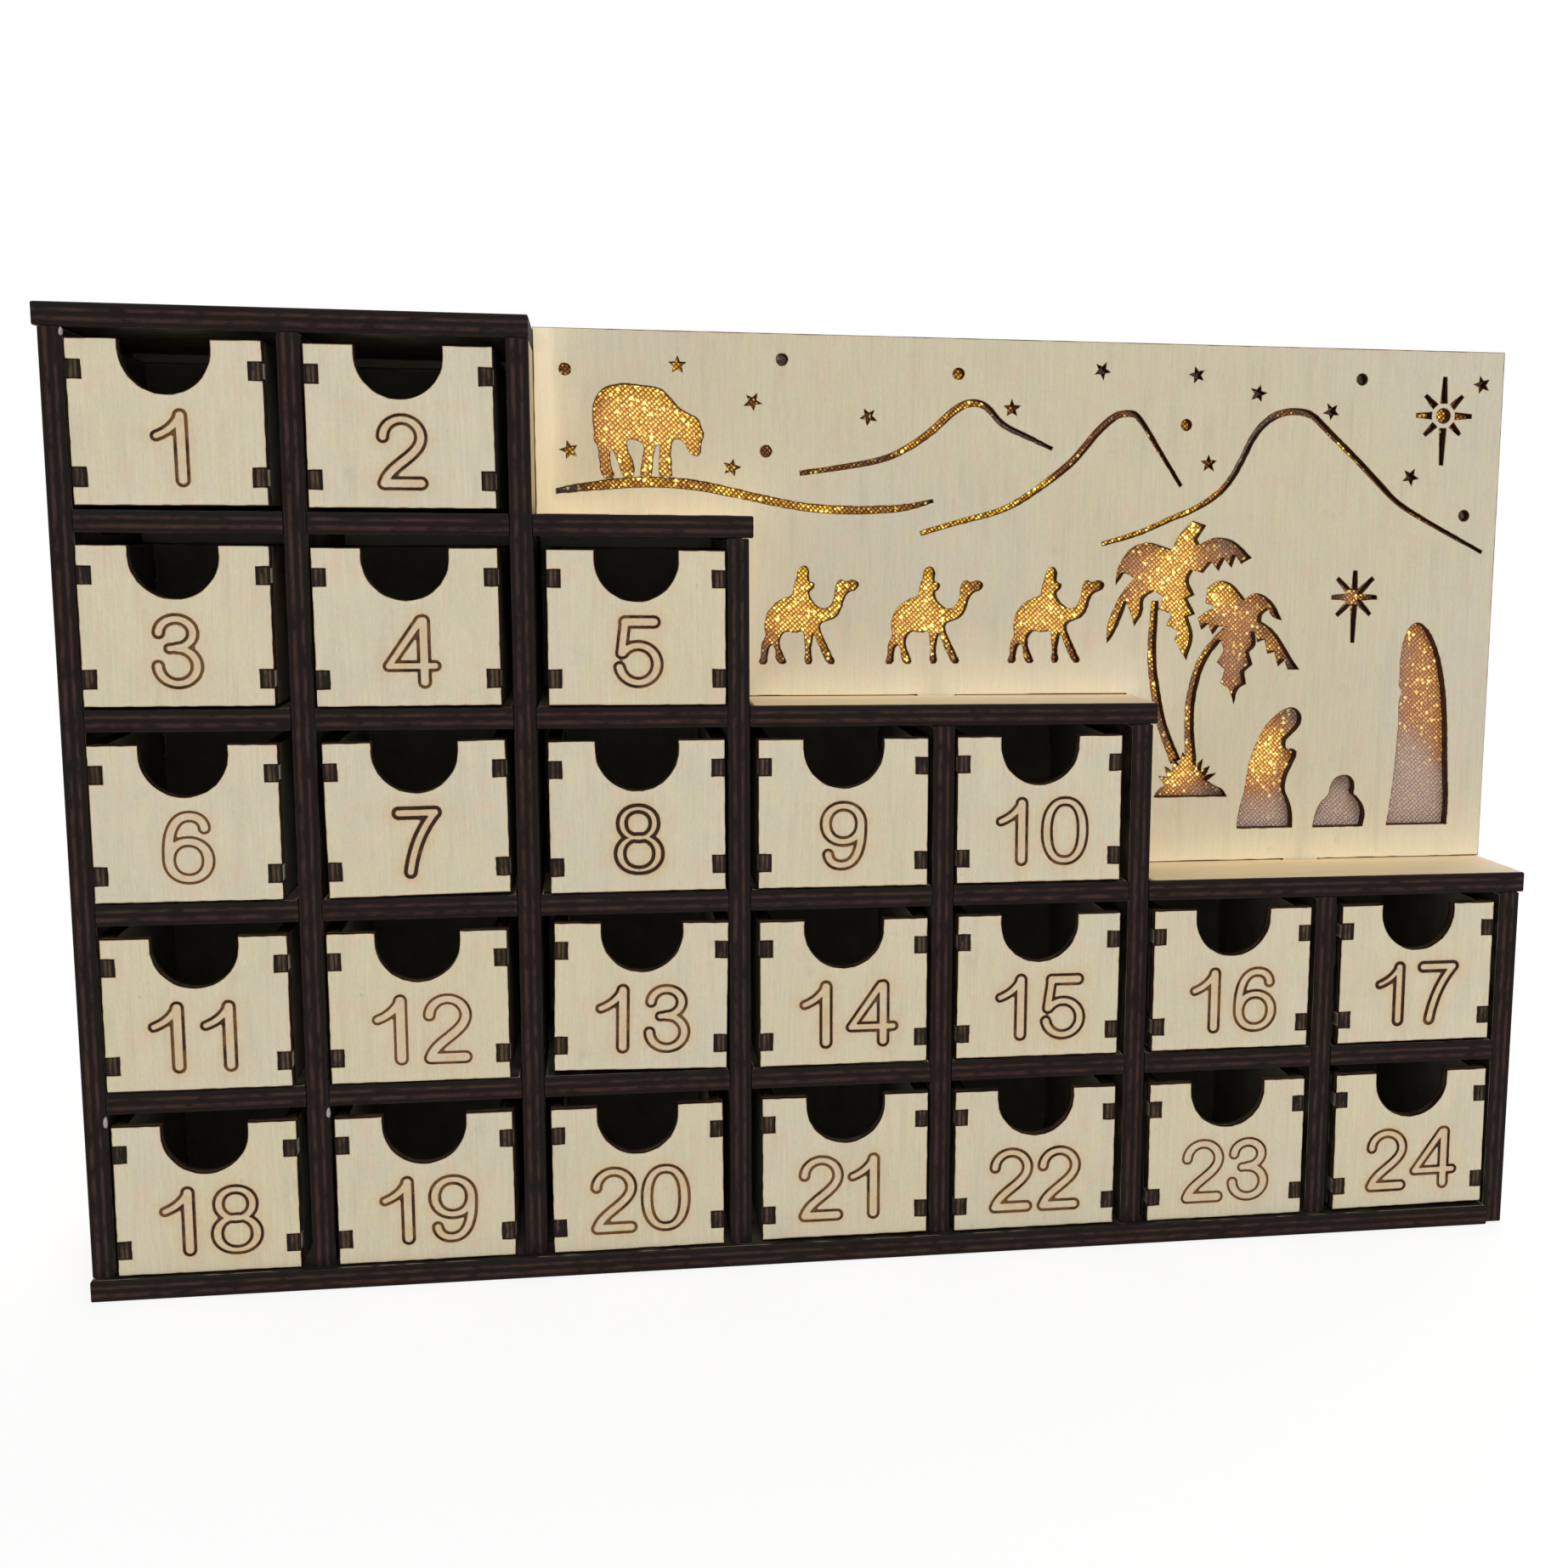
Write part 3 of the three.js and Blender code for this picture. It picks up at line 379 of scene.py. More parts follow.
def cut_edge(name, thickness, char, line, rim, stripes):
    """Charred wall of a cut, with the sheet's paler layers as stripes: the middle and half width of each."""
    finish = Finish(name)
    grain = finish.attribute("grain", "Vector")
    depth = finish.out(finish.node("ShaderNodeSeparateXYZ", None, {"Vector": grain}), "Z")
    across = finish.noise(grain, (0.3, 0.3, 0.1), 3.0, 0.55)
    share = depth / thickness + (across - 0.5) * 0.08
    stops = [(0.0, rim), (0.09, char)]
    for middle, half in stripes:
        stops += [
            (middle - half, char), (middle - half / 3, line),
            (middle + half / 3, line), (middle + half, char),
        ]
    stops += [(0.91, char), (1.0, rim)]
    layers = finish.out(finish.node("ShaderNodeValToRGB", {"stops": stops}, {"Fac": share}))
    soot = finish.noise(grain, (0.9, 0.9, 0.5), 4.0, 0.65)
    patches = finish.noise(grain, (0.12, 0.12, 0.3), 3.0, 0.6)
    clear = finish.noise(grain, (0.2, 0.2, 0.5), 3.0, 0.6)
    layers = finish.blend(finish.step(clear, 0.3, 0.62), char, layers)
    tint = finish.blend(1.0, layers, 0.35 + 0.7 * soot + 0.65 * patches, "MULTIPLY")
    ribs = finish.noise(grain, (3.2, 3.2, 0.25), 2.0, 0.5)
    return finish.surface(
        bump=ribs * 0.5 + soot * 0.4,
        strength=0.3,
        distance=0.0002,
        Base_Color=tint,
        Roughness=0.5 + 0.25 * soot,
        Specular_IOR_Level=0.14,
    )


def groove_line(name, colours):
    """Floor of an engraved line, brown and in places nearly black."""
    finish = Finish(name)
    grain = finish.attribute("grain", "Vector")
    heat = finish.noise(grain, (0.13, 0.13, 0.13), 4.0, 0.6) + (finish.attribute("scorch") - 0.5) * 0.36
    dark = tuple(c * 0.16 for c in colours.engraved)
    burnt = finish.blend(finish.step(heat, 0.36, 0.58), tuple(colours.engraved), dark)
    return finish.surface(bump=heat, strength=0.2, Base_Color=burnt, Roughness=0.7, Specular_IOR_Level=0.3)


def glitter(name, colours):
    """Glitter cloth: flakes in slanting cells, with painted light from behind where the cloth is marked, as a
    glow and a lit copy of its colour, and painted glints on the flakes.
    """
    finish = Finish(name)
    place = finish.stretch(finish.out(finish.node("ShaderNodeTexCoord"), "Object"), (1000, 1000, 1000))
    slant = {"Vector": place, "Angle": math.radians(43)}
    turned = finish.out(finish.node("ShaderNodeVectorRotate", {"rotation_type": "Y_AXIS"}, slant))
    cells = finish.node(
        "ShaderNodeTexVoronoi",
        {"feature": "F1", "voronoi_dimensions": "3D"},
        {"Vector": finish.stretch(turned, (1.32, 0, 1.06)), "Scale": 1.0, "Randomness": 0.22},
    )
    reach = finish.out(cells, "Distance")
    lots = finish.node("ShaderNodeSeparateColor", None, {"Color": finish.out(cells, "Color")})
    lot, other = finish.out(lots, 0), finish.out(lots, 1)
    strewn = finish.node(
        "ShaderNodeTexVoronoi",
        {"feature": "F1", "voronoi_dimensions": "3D"},
        {"Vector": finish.stretch(place, (0.66, 0, 0.66)), "Scale": 1.0, "Randomness": 1.0},
    )
    chosen = finish.node("ShaderNodeSeparateColor", None, {"Color": finish.out(strewn, "Color")})
    fleck = finish.step(finish.out(chosen), 0.42, 0.8)
    fleck = fleck * (1.0 - finish.step(finish.out(strewn, "Distance"), 0.17, 0.36))
    flakes = finish.noise(place, (4.0, 4.0, 4.0), 2.0, 0.6)
    dot = 1.0 - finish.step(reach, 0.2, 0.52)
    spark = finish.step(lot, 0.72, 0.97) * (1.0 - finish.step(reach, 0.14, 0.42))
    drift = finish.noise(place, (0.2, 0.2, 0.2), 3.0, 0.6)
    glow = finish.clamped(finish.attribute("warmth") * (0.72 + 0.5 * drift))
    weave = dot * (0.6 + 0.4 * other)
    gaps = tuple(c * 0.48 for c in colours.cloth)
    unlit = finish.blend(weave * (0.7 + 0.6 * flakes), gaps, tuple(colours.cloth))
    lit = finish.blend(weave, tuple(c * 0.5 for c in colours.amber), tuple(colours.amber))
    # Painted light: the cloth takes its lit colour where the painted lamp light falls.
    cloth = finish.blend(finish.step(glow, 0.0, 0.42), unlit, lit)
    # Painted light: the cloth glows through the ramp where the lamp light is painted on.
    shine = glow * (0.26 + 0.86 * dot * (0.5 + 0.6 * lot)) * (0.85 + 0.3 * flakes)
    light = finish.out(
        finish.node(
            "ShaderNodeValToRGB",
            {
                "stops": [
                    (0.0, (0.0, 0.0, 0.0)), (0.14, paint(48, 22, 8)), (0.34, paint(124, 74, 16)),
                    (0.6, paint(204, 150, 26)), (0.82, paint(240, 198, 44)), (1.0, paint(255, 230, 90)),
                ]
            },
            {"Fac": shine},
        )
    )
    # Painted glints: the flakes glow faintly everywhere and brightly in the painted lamp light.
    bright = spark * (0.12 + 0.9 * glow) + fleck * (0.1 + 1.7 * glow)
    painted_glint = finish.blend(1.0, bright, tuple(colours.sparkle), "MULTIPLY")
    return finish.surface(
        bump=dot * 0.8 + flakes * 0.5,
        strength=0.7,
        distance=0.0003,
        Base_Color=cloth,
        Metallic=0.25 * spark,
        Roughness=0.5 - 0.25 * spark,
        Emission_Color=finish.blend(1.0, light, painted_glint, "ADD"),
        Emission_Strength=1.0,
    )


def lens(name, colours):
    """Warm diffusing lens of a small lamp."""
    finish = Finish(name)
    place = finish.stretch(finish.out(finish.node("ShaderNodeTexCoord"), "Object"), (1000, 1000, 1000))
    mottle = finish.noise(place, (0.8, 0.8, 0.8), 3.0)
    tint = finish.blend(mottle * 0.4, tuple(colours.glow), paint(255, 236, 200))
    return finish.surface(
        bump=mottle, strength=0.1, Base_Color=tint, Roughness=0.25, Emission_Color=tint, Emission_Strength=3.0
    )


def moulded(name, tint, rough):
    """Moulded plastic with a fine spark-eroded texture."""
    finish = Finish(name)
    place = finish.stretch(finish.out(finish.node("ShaderNodeTexCoord"), "Object"), (1000, 1000, 1000))
    pitted = finish.noise(place, (4.5, 4.5, 4.5), 3.0, 0.6)
    rubbed = finish.noise(place, (0.25, 0.25, 0.25), 4.0, 0.6)
    paler = tuple(min(1, c * 1.6 + 0.01) for c in tint)
    return finish.surface(
        bump=pitted,
        strength=0.25,
        distance=0.0001,
        Base_Color=finish.blend(finish.step(rubbed, 0.5, 0.8) * 0.35, tuple(tint), paler),
        Roughness=rough + 0.15 * (rubbed - 0.5),
    )


def dried_glue(name, milky):
    """Milky dried wood glue."""
    finish = Finish(name)
    place = finish.stretch(finish.out(finish.node("ShaderNodeTexCoord"), "Object"), (1000, 1000, 1000))
    cloudy = finish.noise(place, (1.4, 1.4, 1.4), 3.0)
    tint = finish.blend(cloudy, tuple(milky), tuple(c * 0.5 for c in milky))
    return finish.surface(bump=cloudy, strength=0.3, Base_Color=tint, Roughness=0.3 + 0.2 * cloudy)


# Outline tools. An outline is a closed list of points in millimetres with the wood on its left.


def signed_area(loop):
    points = np.asarray(loop)
    after = np.roll(points, -1, axis=0)
    return 0.5 * float(np.sum(points[:, 0] * after[:, 1] - after[:, 0] * points[:, 1]))


def inside(points, loops):
    """Which points lie inside the outlines, by counting the edges to their right."""
    points = np.asarray(points, float)
    odd = np.zeros(len(points), bool)
    for loop in loops:
        ends = np.asarray(loop)
        for (ax, ay), (bx, by) in zip(ends, np.roll(ends, -1, axis=0)):
            if ay == by:
                continue
            spans = (points[:, 1] > ay) != (points[:, 1] > by)
            crossing = ax + (points[:, 1] - ay) * (bx - ax) / (by - ay)
            odd ^= spans & (points[:, 0] < crossing)
    return odd


def distances(points, loops, closed=True):
    """How far each point is from the nearest outline."""
    points = np.asarray(points, float)
    best = np.full(len(points), 1e9)
    for loop in loops:
        starts = np.asarray(loop, float)
        ends = np.roll(starts, -1, axis=0)
        for start, end in zip(starts if closed else starts[:-1], ends):
            run = end - start
            share = np.clip(((points - start) @ run) / max(float(run @ run), 1e-12), 0, 1)
            best = np.minimum(best, np.hypot(*(points - start - share[:, None] * run).T))
    return best


def cad_outlines(node, axis):
    """The outlines of a board, from the face of its CAD node at the low side of an axis."""
    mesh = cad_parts[node].data
    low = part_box(node)[0][axis]
    across = [a for a in range(3) if a != axis]
    edges = set()
    for polygon in mesh.polygons:
        corners = [mesh.vertices[i].co for i in polygon.vertices]
        if max(abs(corner[axis] - low) for corner in corners) > 1e-6:
            continue
        keys = [tuple(round(corner[a] / MM, 3) for a in across) for corner in corners]
        for edge in zip(keys, keys[1:] + keys[:1]):
            if edge[::-1] in edges:
                edges.remove(edge[::-1])
            else:
                edges.add(edge)
    onward = {}
    for start, end in sorted(edges):
        onward.setdefault(start, []).append(end)
    loops = []
    while onward:
        start = min(onward)
        loop = [start]
        while True:
            ends = onward[loop[-1]]
            end = ends.pop()
            if not ends:
                del onward[loop[-1]]
            if end == start:
                break
            loop.append(end)
        loops.append(without_straights(loop))
    loops.sort(key=lambda loop: -abs(signed_area(loop)))
    facing = 1 if signed_area(loops[0]) > 0 else -1
    return [loop[::facing] for loop in loops]


def without_straights(loop):
    """The outline with only its real corners."""
    kept = []
    for before, here, after in zip(loop[-1:] + loop[:-1], loop, loop[1:] + loop[:1]):
        ax, ay, bx, by = here[0] - before[0], here[1] - before[1], after[0] - here[0], after[1] - here[1]
        if abs(ax * by - ay * bx) > 1e-3 * math.hypot(ax, ay) * math.hypot(bx, by):
            kept.append(here)
    return kept


def curved(loop, step, sharpest=48, longest=9):
    """The outline as smooth curves through its points, with its sharp corners and long edges kept."""
    points = np.asarray(loop, float)
    runs = np.roll(points, -1, axis=0) - points
    lengths = np.hypot(*runs.T)
    ways = runs / lengths[:, None]
    before = np.roll(ways, 1, axis=0)
    turn = np.degrees(np.arccos(np.clip(np.sum(ways * before, axis=1), -1, 1)))
    made = []
    count = len(points)
    for i in range(count):
        j = (i + 1) % count
        pieces = max(1, math.ceil(lengths[i] / step))
        tangents = []
        for k in (i, j):
            near_long = lengths[k] > longest or lengths[k - 1] > longest
            if turn[k] > sharpest or near_long:
                tangents.append(ways[i])
            else:
                middle = ways[k] / lengths[k] + before[k] / lengths[k - 1]
                tangents.append(middle / np.hypot(*middle))
        for k in range(pieces):
            t = k / pieces
            a, b = 2 * t**3 - 3 * t**2 + 1, t**3 - 2 * t**2 + t
            c, d = -2 * t**3 + 3 * t**2, t**3 - t**2
            made.append(
                tuple(a * points[i] + c * points[j] + lengths[i] * (b * tangents[0] + d * tangents[1]))
            )
    return made


def divided(loop, step):
    """The outline with points added along its long edges."""
    made = []
    for start, end in zip(loop, loop[1:] + loop[:1]):
        pieces = max(1, math.ceil(math.hypot(end[0] - start[0], end[1] - start[1]) / step))
        for k in range(pieces):
            t = k / pieces
            made.append((start[0] + (end[0] - start[0]) * t, start[1] + (end[1] - start[1]) * t))
    return made


def inset(loop, distance, limit=2.0):
    """The outline moved into the wood."""
    points = np.asarray(loop, float)
    ways = np.roll(points, -1, axis=0) - points
    ways /= np.maximum(np.hypot(*ways.T), 1e-9)[:, None]
    normals = np.stack([-ways[:, 1], ways[:, 0]], axis=1)
    both = normals + np.roll(normals, 1, axis=0)
    size = np.maximum(np.hypot(*both.T), 1e-6)
    both /= size[:, None]
    stretch = np.minimum(1 / np.maximum(np.sum(both * normals, axis=1), 1e-3), limit)
    return [tuple(p) for p in points + both * (stretch * distance)[:, None]]


def triangles(points, edges, keep):
    """Triangles over the points that follow the edges, where keep accepts their middles."""
    made = delaunay_2d_cdt([Vector(p) for p in points], edges, [], 0, 1e-5)
    corners = np.array([tuple(v) for v in made[0]])
    faces = np.array([tuple(face) for face in made[2]])
    middles = corners[faces].mean(axis=1)
    return corners, faces[keep(middles)]


def ring_edges(loops):
    """Index pairs of the edges of outlines that are laid end to end."""
    pairs, first = [], 0
    for loop in loops:
        count = len(loop)
        pairs += [(first + k, first + (k + 1) % count) for k in range(count)]
        first += count
    return pairs


class Sheet:
    """A laser-cut board: outlines in board coordinates across and along, and depth from its low face."""

    def __init__(self, name, loops, thickness, place, grain_across=0):
        self.name = name
        self.loops = loops
        self.thickness = thickness
        self.place = place
        self.grain_across = grain_across
        self.offset = random.Random(name).uniform(0, 900)
        self.work = bmesh.new()
        self.grain = self.work.verts.layers.float_vector.new("grain")
        self.stains = {
            stain: self.work.verts.layers.float.new(stain) for stain in ("burn", "scorch", "soot", "warmth")
        }

    def corner(self, u, v, depth, **stains):
        made = self.work.verts.new(self.place @ Vector((u * MM, v * MM, depth * MM)))
        along, across = (u, v) if self.grain_across else (v, u)
        made[self.grain] = (across + self.offset, along + self.offset, depth)
        for stain, amount in stains.items():
            made[self.stains[stain]] = amount
        return made

    def wall(self, rings, material=1, heat=0.0):
        """Strips between rings of equal length, each ring a list of points with its depth."""
        rows = [[self.corner(u, v, depth, burn=1.0, scorch=heat) for u, v in loop] for loop, depth in rings]
        for low, high in zip(rows, rows[1:]):
            for k in range(len(low)):
                j = (k + 1) % len(low)
                self.work.faces.new((low[k], low[j], high[j], high[k])).material_index = material

    def cap(self, loops, depth, extra, edges, keep, reach, lines=(), heat=0.5, stains=None, material=0):
        """A face over the outlines, with burn values that fall off from the cuts and the engraved lines."""
        points = [p for loop in loops for p in loop]
        joined = [(a + len(points), b + len(points)) for a, b in edges]
        corners, faces = triangles(points + list(extra), ring_edges(loops) + joined, keep)
        burns = np.exp(-distances(corners, self.loops) / reach)
        if lines:
            line_reach = (0.25 + 0.6 * heat) * reach
            burns = np.maximum(burns, 0.9 * np.exp(-distances(corners, lines) / line_reach))
        amounts = {"burn": burns}
        for stain, spread in (stains or {}).items():
            amounts[stain] = spread(corners)
        verts = [
            self.corner(u, v, depth, **{stain: values[k] for stain, values in amounts.items()})
            for k, (u, v) in enumerate(corners)
        ]
        for face in faces:
            self.work.faces.new([verts[k] for k in face]).material_index = material

    def finish(self, face_finish, edge_finish):
        """The board as an object, without loose points and with its doubles joined."""
        loose = [v for v in self.work.verts if not v.link_faces]
        bmesh.ops.delete(self.work, geom=loose, context="VERTS")
        bmesh.ops.remove_doubles(self.work, verts=self.work.verts[:], dist=2e-6)
        bmesh.ops.dissolve_degenerate(self.work, edges=self.work.edges[:], dist=1e-6)
        bmesh.ops.recalc_face_normals(self.work, faces=self.work.faces[:])
        mesh = bpy.data.meshes.new(self.name)
        self.work.to_mesh(mesh)
        self.work.free()
        mesh.materials.append(face_finish)
        mesh.materials.append(edge_finish)
        mesh.shade_smooth()
        mesh.set_sharp_from_angle(angle=math.radians(30))
        made = bpy.data.objects.new(self.name, mesh)
        bpy.context.scene.collection.objects.link(made)
        return made


def cut_board(name, loops, thickness, place, finishes, bevel, reach, step=3.0, rings=(0.35, 0.9), grid=0,
              grain_across=0, marks=(), low_stains=None, high_stains=None):
    """A board cut from a sheet by its outlines, with rounded rims and a charred wall."""
    loops = [divided(loop, step) for loop in loops]
    sheet = Sheet(name, loops, thickness, place, grain_across)
    soft = bevel * 0.293
    for loop in loops:
        full, half = inset(loop, bevel), inset(loop, soft)
        sheet.wall([
            (full, 0), (half, soft), (loop, bevel),
            (loop, thickness - bevel), (half, thickness - soft), (full, thickness),
        ])
    caps = [inset(loop, bevel) for loop in loops]
    extra, edges = [], []
    for ring in rings:
        for loop in loops:
            points = np.array(inset(loop, bevel + ring))
            clear = inside(points, caps) & (distances(points, caps) > 0.8 * ring)
            number = len(extra) + np.cumsum(clear) - 1
            joined = np.flatnonzero(clear & np.roll(clear, -1))
            edges += [(int(number[k]), int(number[(k + 1) % len(points)])) for k in joined]
            extra += [tuple(p) for p in points[clear]]
    if grid:
        outer = np.asarray(loops[0])
        (left, low), (right, high) = outer.min(axis=0), outer.max(axis=0)
        points = np.array([(x, y) for x in np.arange(left, right, grid) for y in np.arange(low, high, grid)])
        clear = inside(points, caps) & (distances(points, caps) > max(rings) + 0.2)
        extra += [tuple(p) for p in points[clear]]
    for depth, stains in ((0.0, low_stains), (thickness, high_stains)):
        if depth == 0 and marks:
            engraved_face(sheet, caps, marks, extra, edges, reach, stains)
        else:
            sheet.cap(caps, depth, extra, edges, lambda middles: inside(middles, caps), reach, stains=stains)
    return sheet.finish(*finishes)


def engraved_face(sheet, caps, marks, extra, edges, reach, stains):
    """The board's low face with the grooves of its number: their sides, points near them, depth and heat."""
    lines, near, depth, heat = marks
    points = np.array(extra + near)
    clear = (distances(points, lines) > 0.12) & inside(points, caps)
    clear[[k for edge in edges for k in edge]] = True
    number = np.cumsum(clear) - 1
    edges = [(int(number[a]), int(number[b])) for a, b in edges]
    sheet.cap(
        caps + lines, 0.0, [tuple(p) for p in points[clear]], edges,
        lambda middles: inside(middles, caps) & ~inside(middles, lines), reach, lines, heat, stains,
    )
    burnt = {"scorch": lambda corners: np.full(len(corners), heat)}
    sheet.cap(lines, depth, [], [], lambda middles: inside(middles, lines), reach, lines, heat, burnt, 2)
    for line in lines:
        sheet.wall([(line, 0.0), (line, depth)], 2, heat)


# Numbers. Each is a skeleton of strokes: (across, up, half width) in millimetres from its lower left.


def bow(centre, widths, start, end, halves=(1.35, 1.35), power=2.0, steps=28):
    """Part of an oval from one angle to another, with its half width at the side and at the top."""
    stroke = []
    for k in range(steps + 1):
        angle = math.radians(start + (end - start) * k / steps)
        c, s = math.cos(angle), math.sin(angle)
        x = centre[0] + widths[0] * math.copysign(abs(c) ** (2 / power), c)
        z = centre[1] + widths[1] * math.copysign(abs(s) ** (2 / power), s)
        stroke.append((x, z, halves[0] * c * c + halves[1] * s * s))
    return stroke


def sweep(points, halves=(1.35, 1.35), steps=14):
    """A Bezier stroke, led by its control points."""
    stroke = []
    for k in range(steps + 1):
        t = k / steps
        row = [np.array(p, float) for p in points]
        while len(row) > 1:
            row = [a + (b - a) * t for a, b in zip(row, row[1:])]
        stroke.append((row[0][0], row[0][1], halves[0] + (halves[1] - halves[0]) * t))
    return stroke


def digit_strokes():
    """The skeleton of each digit."""
    bar, thin = (1.48, 1.48), (1.2, 1.2)
    return {
        "0": [bow((5.83, 8.3), (4.4, 7.12), 0, 360, (1.43, 1.17), 2.3, 48)],
        "1": [
            sweep([(6.3, 1.55), (6.3, 15.1)], (1.52, 1.52)),
            sweep([(6.3, 15.1), (4.7, 12.1), (1.2, 10.85)], (1.3, 1.18)),
        ],
        "2": [
            bow((5.75, 11.4), (4.05, 3.9), 178, 0, (1.38, 1.22)),
            sweep([(9.8, 11.4), (9.8, 7.5), (2.7, 5.4), (1.75, 1.5)], (1.38, 1.4)),
            sweep([(1.75, 1.5), (9.6, 1.5)], bar),
        ],
        "3": [
            bow((5.35, 12.15), (3.55, 3.1), 178, -90, (1.36, 1.22)),
            sweep([(5.35, 8.95), (3.9, 8.8)], thin),
            bow((5.5, 5.0), (4.05, 3.8), 92, -180, (1.38, 1.22)),
        ],
        "4": [
            sweep([(9.0, 1.5), (9.0, 15.0)], bar),
            sweep([(1.28, 5.05), (11.4, 5.05)], (1.25, 1.25)),
            sweep([(1.28, 5.05), (8.4, 15.1)], (1.22, 1.3)),
        ],
        "5": [
            sweep([(2.85, 14.95), (9.4, 14.95)], (1.46, 1.46)),
            sweep([(2.9, 14.9), (2.0, 7.9)], (1.36, 1.36)),
            bow((5.75, 5.45), (4.25, 4.2), 144, -170, (1.4, 1.24)),
        ],
        "6": [
            bow((5.8, 5.45), (4.15, 4.2), 0, 360, (1.42, 1.2), 2.1, 40),
            sweep([(1.65, 5.4), (1.45, 9.6), (2.1, 15.25), (6.2, 15.25)], (1.42, 1.25)),
            sweep([(6.2, 15.25), (8.3, 15.25), (9.3, 13.9), (9.35, 12.6)], (1.25, 1.36)),
        ],
        "7": [
            sweep([(1.5, 15.0), (9.5, 15.0)], bar),
            sweep([(9.45, 14.95), (4.9, 9.6), (3.6, 1.5)], (1.45, 1.48)),
        ],
        "8": [
            bow((5.6, 12.0), (3.7, 3.45), 0, 360, (1.34, 1.15), 2.1, 40),
            bow((5.75, 4.95), (4.35, 3.9), 0, 360, (1.44, 1.08), 2.1, 40),
        ],
        "9": [
            bow((5.55, 11.1), (4.15, 4.2), 0, 360, (1.42, 1.2), 2.1, 40),
            sweep([(9.7, 11.1), (9.9, 7.0), (9.3, 1.3), (5.1, 1.3)], (1.42, 1.25)),
            sweep([(5.1, 1.3), (3.1, 1.3), (2.1, 2.6), (1.95, 3.9)], (1.25, 1.36)),
        ],
    }


def stroke_field(strokes, xs, zs):
    """How far each point of a grid lies outside the strokes' outer line."""
    field = np.full((len(zs), len(xs)), 1e9)
    px, pz = np.meshgrid(xs, zs)
    for stroke in strokes:
        for (ax, az, ar), (bx, bz, br) in zip(stroke, stroke[1:]):
            rx, rz = bx - ax, bz - az
            share = np.clip(((px - ax) * rx + (pz - az) * rz) / max(rx * rx + rz * rz, 1e-12), 0, 1)
            away = np.hypot(px - ax - share * rx, pz - az - share * rz) - (ar + (br - ar) * share)
            field = np.minimum(field, away)
    return field


def contours(field, xs, zs, level):
    """Closed lines where the field has a value, found square by square."""
    step = xs[1] - xs[0]
    above = field > level
    mixed = np.argwhere(
        ~(
            (above[:-1, :-1] == above[:-1, 1:])
            & (above[:-1, 1:] == above[1:, 1:])
            & (above[1:, 1:] == above[1:, :-1])
        )
    )
    onward = {}
    places = {}

    def crossing(a, b):
        """The point between two grid points where the field passes the level."""
        key = (min(a, b), max(a, b))
        if key not in places:
            fa, fb = field[a], field[b]
            t = (level - fa) / (fb - fa)
            places[key] = (
                xs[a[1]] + t * (b[1] - a[1]) * step,
                zs[a[0]] + t * (b[0] - a[0]) * step,
            )
        return key

    for i, j in mixed:
        ring = [(i, j), (i, j + 1), (i + 1, j + 1), (i + 1, j)]
        cuts = []
        for a, b in zip(ring, ring[1:] + ring[:1]):
            if above[a] != above[b]:
                cuts.append((crossing(a, b), bool(above[b])))
        for k, (key, rises) in enumerate(cuts):
            if rises:
                onward[key] = cuts[(k + 1) % len(cuts)][0]
    loops = []
    while onward:
        start = min(onward)
        loop, here = [], start
        while here in onward:
            loop.append(places[here])
            here = onward.pop(here)
        if len(loop) > 8:
            loops.append(loop)
    return loops


def thinned(loop, step):
    """The line with points about a step apart."""
    points = np.asarray(loop, float)
    smooth = 0.25 * np.roll(points, 1, axis=0) + 0.5 * points + 0.25 * np.roll(points, -1, axis=0)
    closed = np.vstack([smooth, smooth[:1]])
    run = np.concatenate([[0], np.cumsum(np.hypot(*np.diff(closed, axis=0).T))])
    count = max(6, round(run[-1] / step))
    at = np.linspace(0, run[-1], count, endpoint=False)
    across, up = np.interp(at, run, closed[:, 0]), np.interp(at, run, closed[:, 1])
    return [(float(x), float(z)) for x, z in zip(across, up)]


def engraved_digits(groove):
    """For each digit the two sides of its engraved line, points near it for the scorch, and its strokes."""
    xs, zs = np.arange(-1.2, 14.4, 0.1), np.arange(-1.2, 18, 0.1)
    made = {}
    for digit, strokes in digit_strokes().items():
        field = stroke_field(strokes, xs, zs)
        lines = []
        for level in (0.0, -groove):
            lines += [thinned(loop, 0.32) for loop in contours(field, xs, zs, level)]
        near = []
        for level in (0.3, -groove - 0.28):
            near += [p for loop in contours(field, xs, zs, level) for p in thinned(loop, 0.7)]
        made[digit] = (lines, near, strokes)
    return made


def number_marks(number, digits, rise):
    """A number's engraved lines, points near them, and strokes, in the drawer front's own millimetres."""
    text = str(number)
    if len(text) == 1:
        starts = [LONE_ONE_START if text == "1" else LONE_START]
    else:
        starts = [
            FIRST_ONE_START if text[0] == "1" else FIRST_START,
            SECOND_ONE_START if text[1] == "1" else SECOND_START,
        ]
    lines, near, strokes = [], [], []
    for character, start in zip(text, starts):
        got = digits[character]
        lines += [[(x + start, z + rise) for x, z in line] for line in got[0]]
        near += [(x + start, z + rise) for x, z in got[1]]
        strokes += [[(x + start, z + rise, half) for x, z, half in stroke] for stroke in got[2]]
    return lines, near, strokes


# Pieces


def axis_place(axis, low):
    """The board frame of a board whose thickness runs along a world axis."""
    across = [a for a in range(3) if a != axis]
    made = Matrix.Identity(4)
    for column, world in enumerate([*across, axis]):
        for row in range(3):
            made[row][column] = 1.0 if row == world else 0.0
    made[axis][3] = low
    return made


